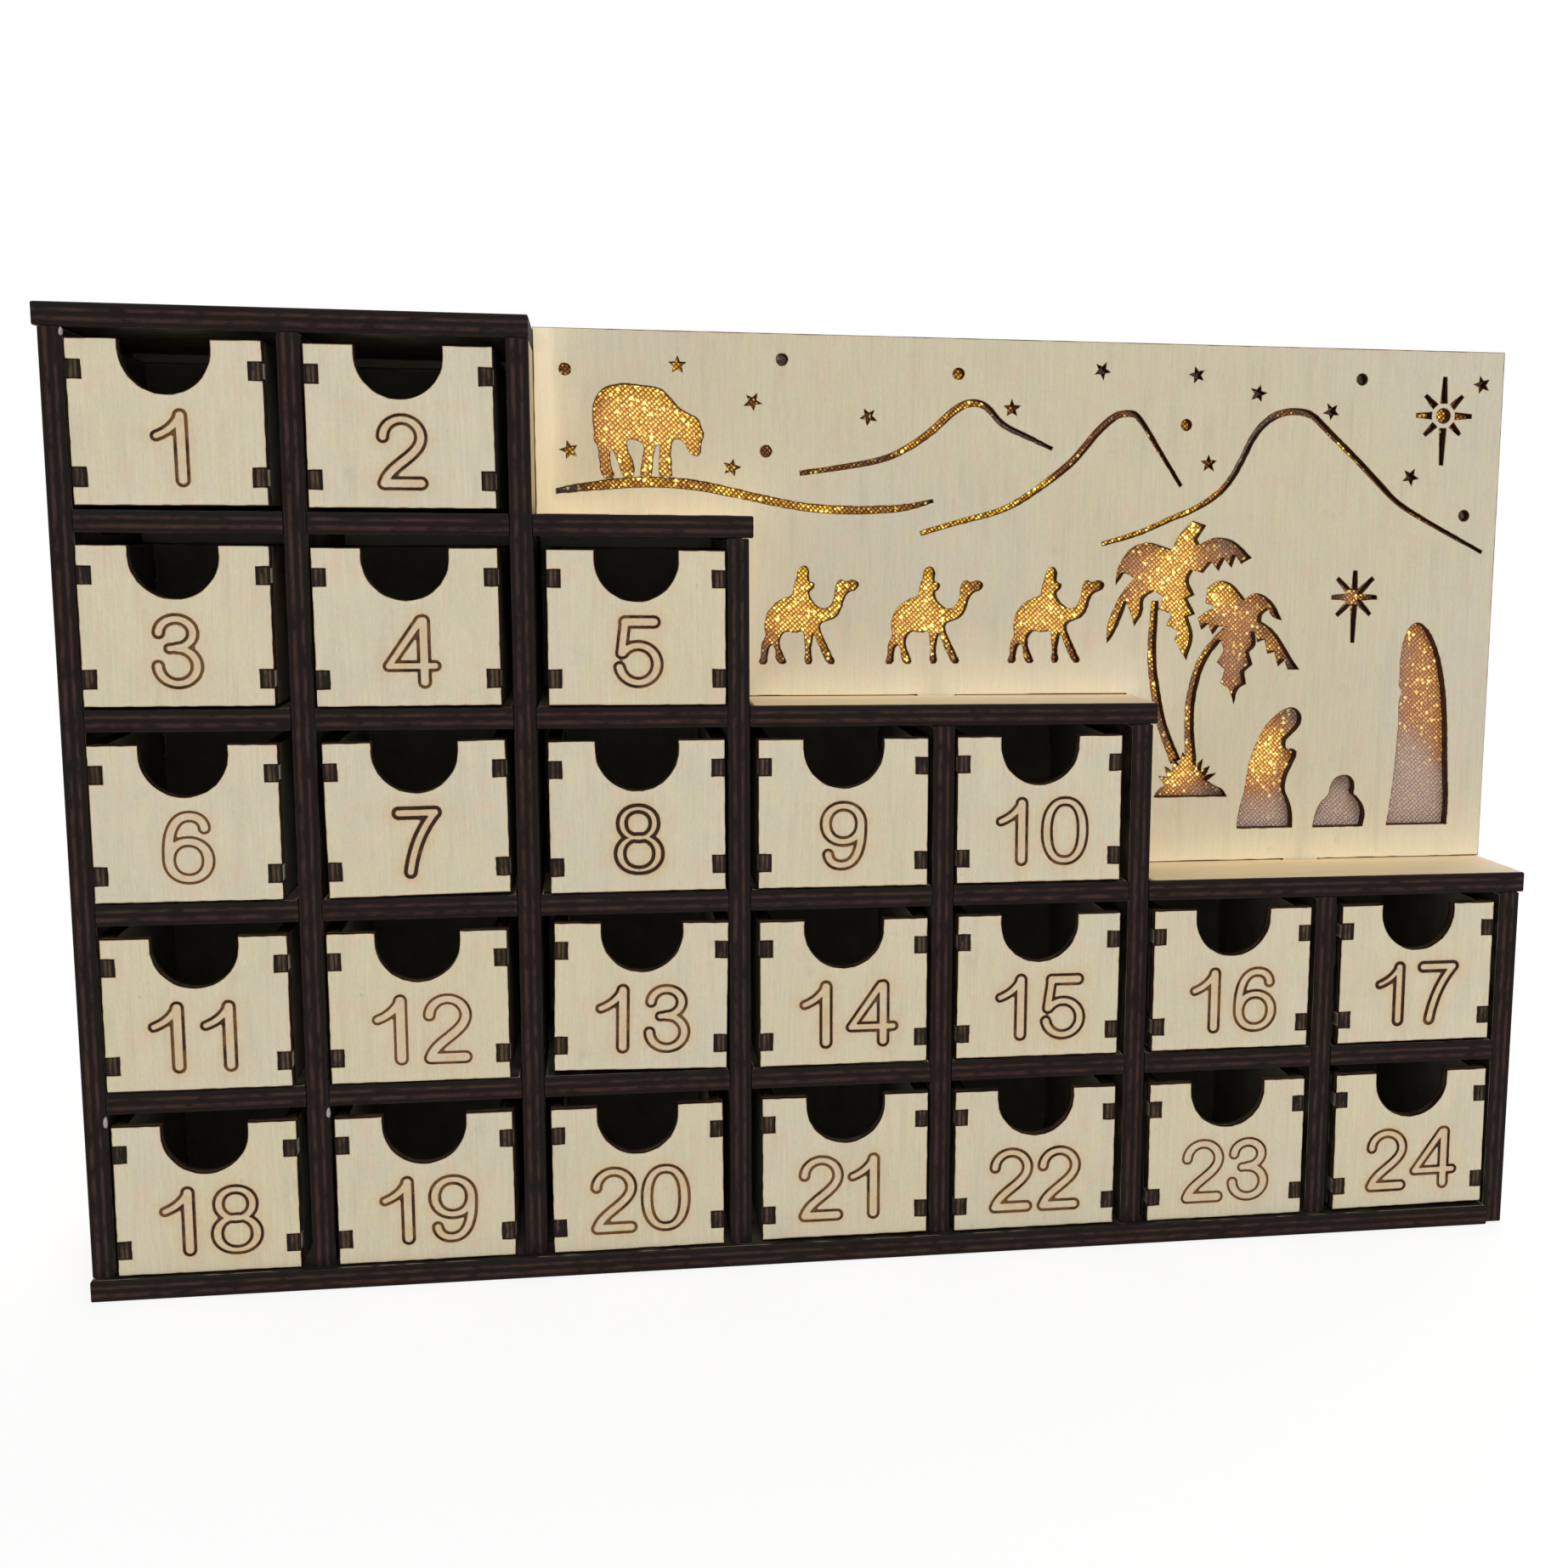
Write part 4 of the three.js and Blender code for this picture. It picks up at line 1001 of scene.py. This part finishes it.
def finishes_of(context):
    """The finishes that several pieces share, made once."""
    colours = context.scene.calendar_colours
    wanted = {
        "drawer_face": lambda n: ply_face(n, tuple(colours.face), colours),
        # The panel and the case faces glow with painted lamp light in these tints.
        "panel_face": lambda n: ply_face(n, tuple(colours.panel), colours, painted_glow_tint=(0.34, 0.28, 0.18)),
        "case_face": lambda n: ply_face(n, tuple(colours.case), colours, painted_glow_tint=(0.22, 0.13, 0.05)),
        "case_edge": lambda n: cut_edge(
            n, CASE_PLY, tuple(colours.char), tuple(colours.char_line), paint(44, 34, 29),
            ((0.3, 0.13), (0.67, 0.1)),
        ),
        "drawer_edge": lambda n: cut_edge(
            n, THIN_PLY, paint(27, 19, 13), paint(84, 66, 47), paint(20, 13, 9),
            ((0.36, 0.17), (0.68, 0.13)),
        ),
        "panel_edge": lambda n: cut_edge(
            n, THIN_PLY, paint(46, 28, 17), paint(96, 66, 42), paint(72, 48, 30),
            ((0.33, 0.1), (0.67, 0.1)),
        ),
        "groove": lambda n: groove_line(n, colours),
    }
    return {name: bpy.data.materials.get(name) or make(name) for name, make in wanted.items()}


def node_board(context, node, axis, face, edge, body="case", slot="case_wood", **options):
    """A board that takes the place of a CAD node, cut from the node's own outlines."""
    sizes = context.scene.calendar_sizes
    made_finishes = finishes_of(context)
    low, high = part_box(node)
    loops = options.pop("loops", None) or cad_outlines(node, axis)
    made = cut_board(
        node + "_board",
        loops,
        (high[axis] - low[axis]) / MM,
        axis_place(axis, low[axis]),
        (made_finishes[face], made_finishes[edge]),
        options.pop("bevel", sizes.edge_round / MM),
        sizes.scorch_reach / MM,
        **options,
    )
    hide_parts(node)
    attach(made, body)
    return made


def case_top(xs):
    """The height of the case at each place along it, in millimetres, from the boards that cover the place."""
    heights = np.zeros(len(xs))
    for node in LEVEL_BOARDS:
        low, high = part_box(node)
        covers = (xs > low.x / MM) & (xs < high.x / MM)
        heights = np.where(covers, np.maximum(heights, high.z / MM), heights)
    return heights


def smoke_inside(node, axis):
    """For a case board's two faces, painted shade in the compartments and painted lamp light on the steps by
    the panel.
    """
    low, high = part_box(node)
    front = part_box("left_side")[0].y / MM
    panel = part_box("scene_panel")[0].y / MM
    # The painted shade starts just behind the front, but the base board's lip is darkened too.
    clean = -9 if node == "base_board" else 0.6

    def stain(side):
        probe = low[axis] / MM - 2 if side == 0 else high[axis] / MM + 2

        def within(corners):
            first, second = corners[:, 0], corners[:, 1]
            if axis == 0:
                xs, ys, zs = np.full(len(corners), probe), first, second
            else:
                xs, ys, zs = first, second, np.full(len(corners), probe)
            return (zs > 1) & (zs < case_top(xs)) & (ys > front + clean), ys

        # Painted shade over the hidden faces, strongest just behind the front.
        def smoke(corners):
            hidden, ys = within(corners)
            return np.where(hidden, 0.7 + 0.3 * np.exp(-(ys - front) / 14), 0)

        # Painted lamp light: a glow on the step tops that fades away from the panel.
        def lamplight(corners):
            hidden, ys = within(corners)
            return np.where(hidden | (ys > panel), 0, np.exp(-np.abs(panel - ys) / 9))

        return {"soot": smoke, "warmth": lamplight} if axis == 2 and side == 1 else {"soot": smoke}

    return {"low_stains": stain(0), "high_stains": stain(1)}


class CALENDAR_OT_case_boards(bpy.types.Operator):
    """Cut the shelves, uprights and base of the case"""

    bl_idname = "calendar.case_boards"
    bl_label = "Case Boards"

    def execute(self, context):
        for node in LEVEL_BOARDS:
            smoke = smoke_inside(node, 2)
            node_board(context, node, 2, "case_face", "case_edge", grain_across=1, grid=7, **smoke)
        for node in ["left_side", *(f"divider_{k}" for k in range(1, 7)), "right_side"]:
            smoke = smoke_inside(node, 0)
            node_board(context, node, 0, "case_face", "case_edge", grid=7, **smoke)
        return {"FINISHED"}


class CALENDAR_OT_light_box(bpy.types.Operator):
    """Cut the top, end and back boards of the light box"""

    bl_idname = "calendar.light_box"
    bl_label = "Light Box"

    def execute(self, context):
        options = {"slot": "light_box_wood", "bevel": 0.2, "step": 6.0}
        node_board(context, "light_box_top", 2, "panel_face", "panel_edge", grain_across=1, **options)
        node_board(context, "light_box_end", 0, "panel_face", "panel_edge", **options)
        node_board(context, "back_board", 1, "panel_face", "panel_edge", grain_across=1, **options)
        return {"FINISHED"}


class CALENDAR_OT_scene_panel(bpy.types.Operator):
    """Cut the panel with the night scene"""

    bl_idname = "calendar.scene_panel"
    bl_label = "Scene Panel"

    def execute(self, context):
        loops = cad_outlines("scene_panel", 1)
        outer = loops[0]
        upper_left = outer.index(min(outer, key=lambda p: p[0] - p[1]))
        outer = outer[upper_left:] + outer[:upper_left]
        lower_right = outer.index(max(outer, key=lambda p: p[0] - p[1]))
        stepped = outer[: lower_right + 1]
        loops = [outer] + [curved(loop, 1.1) for loop in loops[1:]]

        def warmth(corners):
            """Painted lamp light that leaks round the panel's stepped edge, most of it on the left."""
            beside = np.exp(-(corners[:, 0] - outer[0][0]) / 6)
            return np.exp(-distances(corners, [stepped], closed=False) / 8) * (0.8 + 1.2 * beside)

        node_board(
            context, "scene_panel", 1, "panel_face", "panel_edge", slot="panel_wood",
            loops=loops, bevel=0.12, step=3.0, rings=(0.3, 0.75), grid=6, low_stains={"warmth": warmth},
        )
        return {"FINISHED"}


class CALENDAR_OT_glitter_cloth(bpy.types.Operator):
    """Stretch the glitter cloth behind the panel"""

    bl_idname = "calendar.glitter_cloth"
    bl_label = "Glitter Cloth"

    def execute(self, context):
        colours = context.scene.calendar_colours
        low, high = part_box("glitter_fabric")
        loops = cad_outlines("glitter_fabric", 1)

        def warmth(corners):
            """Painted lamp light on the cloth: a bright place before each lamp, and wide faint light round
            it.
            """
            total = np.zeros(len(corners))
            for x, z, width, strength in GLOW_SPOTS:
                away = np.hypot(corners[:, 0] - x, corners[:, 1] - z)
                total += strength * np.exp(-((away / width) ** 2))
            for x0, z0, x1, z1, width, strength in GLOW_STREAKS:
                away = distances(corners, [[(x0, z0), (x1, z1)]], closed=False)
                total += strength * np.exp(-((away / width) ** 2))
            for k in range(1, LAMPS + 1):
                near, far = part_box(f"lamp_{k}")
                middle = (near + far) / 2 / MM
                away = np.hypot(corners[:, 0] - middle.x, corners[:, 1] - middle.z)
                total += 0.2 * np.exp(-((away / 22) ** 2))
            return np.minimum(total, 1.15)

        finish = glitter("glitter_cloth", colours)
        lit = {"warmth": warmth}
        made = cut_board(
            "glitter_sheet", loops, (high.y - low.y) / MM, axis_place(1, low.y), (finish, finish),
            0.1, 1.0, step=3.0, rings=(1.5,), grid=1.9, low_stains=lit, high_stains=lit,
        )
        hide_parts("glitter_fabric")
        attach(made, "case")
        return {"FINISHED"}


class CALENDAR_OT_drawers(bpy.types.Operator):
    """Cut and join the five boards of each drawer, and engrave its number"""

    bl_idname = "calendar.drawers"
    bl_label = "Drawers"

    def execute(self, context):
        sizes = context.scene.calendar_sizes
        groove = sizes.groove_width / MM
        digits = [engraved_digits(groove * share) for share in GROOVE_SHARES]
        for number, heat in enumerate(HEATS, 1):
            self.make_drawer(context, number, heat, digits[round(2 * heat)])
        return {"FINISHED"}

    def make_drawer(self, context, number, heat, digits):
        sizes = context.scene.calendar_sizes
        made = finishes_of(context)
        node = f"drawer_{number:02d}"
        place, width, depth, height = drawer_frame(node)
        wall = THIN_PLY
        tabs = [(low * height, high * height) for low, high in TAB_SHARES]
        bevel, reach, seam = sizes.drawer_round / MM, sizes.scorch_reach / MM, sizes.seam / MM
        pair = (made["drawer_face"], made["drawer_edge"])
        # Painted shade: the drawer's inner faces are evenly darkened.
        within = {"soot": lambda corners: np.full(len(corners), 0.6)}

        def outside(tip):
            """Painted shade that fades along a side's outer face, and its own amount on the tabs in the
            front.
            """

            def soot(corners):
                behind = corners[:, 0] - 2
                return np.where(behind < 0, tip, np.exp(-behind / 16))

            return {"soot": soot}

        lines, near, strokes = number_marks(number, digits, sizes.number_rise / MM)

        def scorching(corners):
            """Yellowing inside and round the number."""
            away = np.full(len(corners), 1e9)
            for stroke in strokes:
                for (ax, az, ar), (bx, bz, br) in zip(stroke[::2], stroke[2::2]):
                    run = np.array([bx - ax, bz - az])
                    start = np.array([ax, az])
                    share = np.clip(((corners - start) @ run) / max(float(run @ run), 1e-9), 0, 1)
                    away = np.minimum(away, np.hypot(*(corners - start - share[:, None] * run).T) - ar)
            around = (0.45 + 0.8 * heat) * np.exp(-np.maximum(away, 0) / 1.2)
            return np.where(away < 0, 0.65 + 0.6 * heat, around)

        notch = notch_outline(width, height)
        boards = {}
        front = plate_outline(width, height, tabs, wall, seam, notch)
        upright = place @ Matrix(((1, 0, 0, 0), (0, 0, 1, 0), (0, 1, 0, 0), (0, 0, 0, 1)))
        boards["front"] = cut_board(
            node + "_front", [front], wall, upright, pair, bevel, reach, step=2.0, grid=1.3,
            marks=(lines, near, sizes.groove_depth / MM, heat), low_stains={"scorch": scorching},
            high_stains=within,
        )
        boards["front"].data.materials.append(made["groove"])
        back = plate_outline(width, height, tabs, wall, seam, [])
        behind = upright @ Matrix.Translation((0, 0, (depth - wall) * MM))
        boards["back"] = cut_board(
            node + "_back", [back], wall, behind, pair, bevel, reach, step=6.0, rings=(0.6,),
            low_stains=within,
        )
        side = side_outline(depth, height, tabs, wall, seam)
        turn = place @ Matrix(((0, 0, 1, 0), (1, 0, 0, 0), (0, 1, 0, 0), (0, 0, 0, 1)))
        for label, start in (("left", 0.0), ("right", width - wall)):
            spot = turn @ Matrix.Translation((0, 0, start * MM))
            # Painted shade: the left side's tabs are painted darker than the right side's.
            faces = (outside(0.8), within) if label == "left" else (within, outside(0.15))
            boards[label] = cut_board(
                f"{node}_{label}", [side], wall, spot, pair, bevel, reach, step=3.0, rings=(0.6,), grid=6,
                grain_across=1, low_stains=faces[0], high_stains=faces[1],
            )
        floor = [
            (wall + seam, wall + seam), (width - wall - seam, wall + seam),
            (width - wall - seam, depth - wall - seam), (wall + seam, depth - wall - seam),
        ]
        boards["bottom"] = cut_board(
            node + "_bottom", [floor], wall, place, pair, bevel, reach, step=8.0, rings=(0.6,),
            high_stains=within,
        )
        for board in boards.values():
            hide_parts(node)
            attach(board, node)


def drawer_frame(node):
    """A drawer's own frame at its front lower left corner, and its width, depth and height in millimetres."""
    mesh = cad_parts[node].data
    low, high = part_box(node)
    front = {tuple(round(c, 7) for c in v.co) for v in mesh.vertices if abs(v.co.y - low.y) < 1e-6}
    left = min(front, key=lambda c: c[0] + c[2])
    right = max(front, key=lambda c: c[0] - c[2])
    upper = min(front, key=lambda c: c[0] - c[2])
    across = Vector(right) - Vector(left)
    up = Vector(upper) - Vector(left)
    x, z = across.normalized(), up.normalized()
    place = Matrix.Translation(left) @ Matrix(
        ((x.x, 0, z.x, 0), (0, 1, 0, 0), (x.z, 0, z.z, 0), (0, 0, 0, 1))
    )
    return place, across.length / MM, (high.y - low.y) / MM, up.length / MM


def notch_outline(width, height):
    """The half-round thumb notch, from its right side to its left."""
    radius, middle = NOTCH_RADIUS_SHARE * width, width / 2
    points = [(middle + radius, height)]
    for k in range(25):
        angle = -math.pi * k / 24
        points.append((middle + radius * math.cos(angle), height - NOTCH_DROP + radius * math.sin(angle)))
    points.append((middle - radius, height))
    return points


def plate_outline(width, height, tabs, wall, seam, notch):
    """The front or back of a drawer, with a notch at each side for each tab."""
    right = [(width, 0.0)]
    for low, high in tabs:
        right += [(width, low), (width - wall, low), (width - wall, high), (width, high)]
    right.append((width, height))
    left = [(width - x, z) for x, z in reversed(right)]
    return right + list(notch) + left


def side_outline(depth, height, tabs, wall, seam):
    """A drawer's side, with its tabs through the front and the back."""
    end, tip = depth - wall - seam, depth - TAB_TIP_GAP
    back = [(end, 0.0)]
    for low, high in tabs:
        back += [(end, low + seam), (tip, low + seam), (tip, high - seam), (end, high - seam)]
    back.append((end, height))
    front = [(depth - y, z) for y, z in reversed(back)]
    return back + front


class CALENDAR_OT_glue_drops(bpy.types.Operator):
    """Leave a drop of glue at three corners of the case's front"""

    bl_idname = "calendar.glue_drops"
    bl_label = "Glue Drops"

    def execute(self, context):
        finish = dried_glue("dried_glue", context.scene.calendar_colours.glue)
        for number, (upright, shelf, tall) in enumerate(
            (("left_side", "top_board", 1.9), ("left_side", "shelf_1", 2.9), ("divider_1", "shelf_1", 2.6)), 1
        ):
            side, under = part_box(upright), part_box(shelf)[0]
            corner = Vector((side[1].x, side[0].y, under.z)) / MM
            self.make_drop(f"glue_drop_{number}", corner, tall, finish)
        return {"FINISHED"}

    def make_drop(self, name, corner, tall, finish):
        """A drop that has run down the upright's rim from the shelf above, its back in the wood."""
        lot = random.Random(name)
        work = bmesh.new()
        sides, levels = 16, 10
        middle = (corner.x - 0.33, corner.y + 0.24, corner.z - tall / 2 - 0.1)
        wobble = [lot.uniform(0.8, 1.15) for _ in range(sides)]
        rows = []
        for k in range(1, levels):
            up = math.cos(math.pi * k / levels)
            wide = math.sin(math.pi * k / levels) ** 0.8 * (1.0 - 0.25 * up)
            row = []
            for j in range(sides):
                turn = math.tau * j / sides
                x = middle[0] + 0.5 * wide * wobble[j] * math.cos(turn)
                y = middle[1] - 0.4 * wide * math.sin(turn)
                row.append(work.verts.new(Vector((x, y, middle[2] + tall / 2 * up)) * MM))
            rows.append(row)
        for upper, lower in zip(rows, rows[1:]):
            for j in range(sides):
                work.faces.new((upper[j], upper[j - 1], lower[j - 1], lower[j]))
        work.faces.new(rows[0])
        work.faces.new(rows[-1][::-1])
        bmesh.ops.recalc_face_normals(work, faces=work.faces[:])
        mesh = bpy.data.meshes.new(name)
        work.to_mesh(mesh)
        work.free()
        mesh.shade_smooth()
        mesh.materials.append(finish)
        made = bpy.data.objects.new(name, mesh)
        bpy.context.scene.collection.objects.link(made)
        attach(made, "case")


class CALENDAR_OT_lamps(bpy.types.Operator):
    """Finish the small lamps behind the cloth"""

    bl_idname = "calendar.lamps"
    bl_label = "Lamps"

    def execute(self, context):
        finish = lens("lamp_lens", context.scene.calendar_colours)
        for k in range(1, LAMPS + 1):
            set_finish(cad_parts[f"lamp_{k}"], finish)
        return {"FINISHED"}


class CALENDAR_OT_battery_box(bpy.types.Operator):
    """Finish the battery box, its lid and its switch"""

    bl_idname = "calendar.battery_box"
    bl_label = "Battery Box"

    def execute(self, context):
        colours = context.scene.calendar_colours
        plastic = moulded("box_plastic", colours.box, 0.5)
        knob = moulded("switch_plastic", colours.knob, 0.4)
        self.make_lid(plastic)
        for node, finish, width in (("battery_box", plastic, 0.0005), ("battery_switch", knob, 0.0004)):
            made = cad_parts[node]
            set_finish(made, finish)
            weld = made.modifiers.new("join", "WELD")
            weld.merge_threshold = 1e-6
            soften = made.modifiers.new("round", "BEVEL")
            soften.width = width
            soften.segments = 2
            soften.limit_method = "ANGLE"
        return {"FINISHED"}

    def make_lid(self, plastic):
        """The lid, with a row of grip grooves moulded in its outer face."""
        low, high = (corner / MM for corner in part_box("battery_lid"))
        outline = [(low.x, low.z), (high.x, low.z), (high.x, high.z), (low.x, high.z)]
        place = Matrix(((1, 0, 0, 0), (0, 0, -1, high.y * MM), (0, 1, 0, 0), (0, 0, 0, 1)))
        middle, lines = (low.z + high.z) / 2, []
        for k in range(GRIPS):
            across = low.x + GRIP_START + GRIP_STEP * k
            tall = GRIP_HALF_LENGTH - 0.35 * abs(k - GRIPS // 2) ** 1.5
            line = []
            for j in range(16):
                turn = math.pi * (j + 0.5) / 8
                end = middle + math.copysign(tall, math.sin(turn))
                line.append((across + GRIP_RADIUS * math.cos(turn), end + GRIP_RADIUS * math.sin(turn)))
            lines.append(line)
        made = cut_board(
            "battery_lid_plate", [outline], high.y - low.y, place, (plastic, plastic), 0.3, 1.0,
            step=4.0, rings=(0.8,), marks=(lines, [], GRIP_DEPTH, 0.0),
        )
        made.data.materials.append(plastic)
        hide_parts("battery_lid")
        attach(made, "battery_lid")


def set_finish(made, finish):
    """Puts one finish on a CAD node."""
    if not made.material_slots:
        made.data.materials.append(finish)
    for slot in made.material_slots:
        slot.material = finish


class CALENDAR_OT_stage(bpy.types.Operator):
    """Set up the floor, the light and the camera"""

    bl_idname = "calendar.stage"
    bl_label = "Stage"

    def execute(self, context):
        self.make_floor(context)
        self.make_light(context)
        self.make_camera(context)
        return {"FINISHED"}

    def make_floor(self, context):
        mesh = bpy.data.meshes.new("floor")
        work = bmesh.new()
        signs = ((-1, -1), (1, -1), (1, 1), (-1, 1))
        work.faces.new([work.verts.new((FLOOR_HALF_WIDTH * x, FLOOR_HALF_WIDTH * y, 0)) for x, y in signs])
        work.to_mesh(mesh)
        work.free()
        floor = bpy.data.objects.new("floor", mesh)
        context.scene.collection.objects.link(floor)
        finish = Finish("floor")
        matt = finish.node(
            "ShaderNodeBsdfDiffuse", None, {"Color": tuple(context.scene.calendar_colours.floor)}
        )
        white = finish.node("ShaderNodeEmission", None, {"Color": (1.0, 1.0, 1.0), "Strength": 1.15})
        rays = finish.node("ShaderNodeLightPath")
        seen = finish.maths("MAXIMUM", finish.out(rays, "Is Camera Ray"), finish.out(rays, "Is Glossy Ray"))
        mixed = finish.node(
            "ShaderNodeMixShader", None, {0: seen * 0.65, 1: finish.out(matt), 2: finish.out(white)}
        )
        finish.node("ShaderNodeOutputMaterial", None, {"Surface": finish.out(mixed)})
        mesh.materials.append(finish.material)

    def make_light(self, context):
        world = bpy.data.worlds.new("studio")
        world.use_nodes = True
        context.scene.world = world
        tree = world.node_tree
        rays = tree.nodes.new("ShaderNodeLightPath")
        seen = tree.nodes.new("ShaderNodeMath")
        seen.operation = "MAXIMUM"
        tree.links.new(rays.outputs["Is Camera Ray"], seen.inputs[0])
        tree.links.new(rays.outputs["Is Transmission Ray"], seen.inputs[1])
        strength = tree.nodes.new("ShaderNodeMapRange")
        strength.inputs["To Min"].default_value = STUDIO_AIR
        strength.inputs["To Max"].default_value = 1.0
        tree.links.new(seen.outputs[0], strength.inputs["Value"])
        background = tree.nodes["Background"]
        background.inputs["Color"].default_value = (1, 1, 1, 1)
        tree.links.new(strength.outputs[0], background.inputs["Strength"])
        for name, direction, spread, power in STUDIO_LAMPS:
            lamp = bpy.data.lights.new(name, "SUN")
            lamp.angle = math.radians(spread)
            lamp.energy = power
            made = bpy.data.objects.new(name, lamp)
            made.location = direction
            made.rotation_euler = Vector(direction).to_track_quat("Z", "Y").to_euler()
            context.scene.collection.objects.link(made)
        context.scene.view_settings.view_transform = "Standard"

    def make_camera(self, context):
        view = bpy.data.cameras.new("camera")
        view.sensor_width = 36
        view.lens = CAMERA_LENS
        view.shift_x, view.shift_y = CAMERA_SHIFT
        view.clip_start = 0.01
        made = bpy.data.objects.new("camera", view)
        context.scene.collection.objects.link(made)
        right, up = Vector(CAMERA_RIGHT), Vector(CAMERA_UP)
        turn = Matrix((right, up, right.cross(up))).transposed()
        made.rotation_euler = turn.to_euler()
        made.location = CAMERA_PLACE
        context.scene.camera = made


class CALENDAR_PT_sidebar(bpy.types.Panel):
    """The calendar's pieces, sizes and colours"""

    bl_idname = "CALENDAR_PT_sidebar"
    bl_label = "Drawer Advent Calendar"
    bl_space_type = "VIEW_3D"
    bl_region_type = "UI"
    bl_category = "Calendar"

    def draw(self, context):
        layout = self.layout
        for operator in OPERATORS:
            layout.operator(operator.bl_idname)
        for group in (context.scene.calendar_sizes, context.scene.calendar_colours):
            for name in group.__annotations__:
                layout.prop(group, name)


OPERATORS = (
    CALENDAR_OT_case_boards,
    CALENDAR_OT_light_box,
    CALENDAR_OT_scene_panel,
    CALENDAR_OT_glitter_cloth,
    CALENDAR_OT_drawers,
    CALENDAR_OT_glue_drops,
    CALENDAR_OT_lamps,
    CALENDAR_OT_battery_box,
    CALENDAR_OT_stage,
)
CLASSES = (CalendarSizes, CalendarColours, *OPERATORS, CALENDAR_PT_sidebar)


def register():
    for part in CLASSES:
        bpy.utils.register_class(part)
    bpy.types.Scene.calendar_sizes = PointerProperty(type=CalendarSizes)
    bpy.types.Scene.calendar_colours = PointerProperty(type=CalendarColours)


def unregister():
    del bpy.types.Scene.calendar_colours
    del bpy.types.Scene.calendar_sizes
    for part in reversed(CLASSES):
        bpy.utils.unregister_class(part)


def main():
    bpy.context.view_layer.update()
    register()
    bpy.ops.calendar.case_boards()
    bpy.ops.calendar.light_box()
    bpy.ops.calendar.scene_panel()
    bpy.ops.calendar.glitter_cloth()
    bpy.ops.calendar.drawers()
    bpy.ops.calendar.glue_drops()
    bpy.ops.calendar.lamps()
    bpy.ops.calendar.battery_box()
    bpy.ops.calendar.stage()


if __name__ == "__main__":
    main()
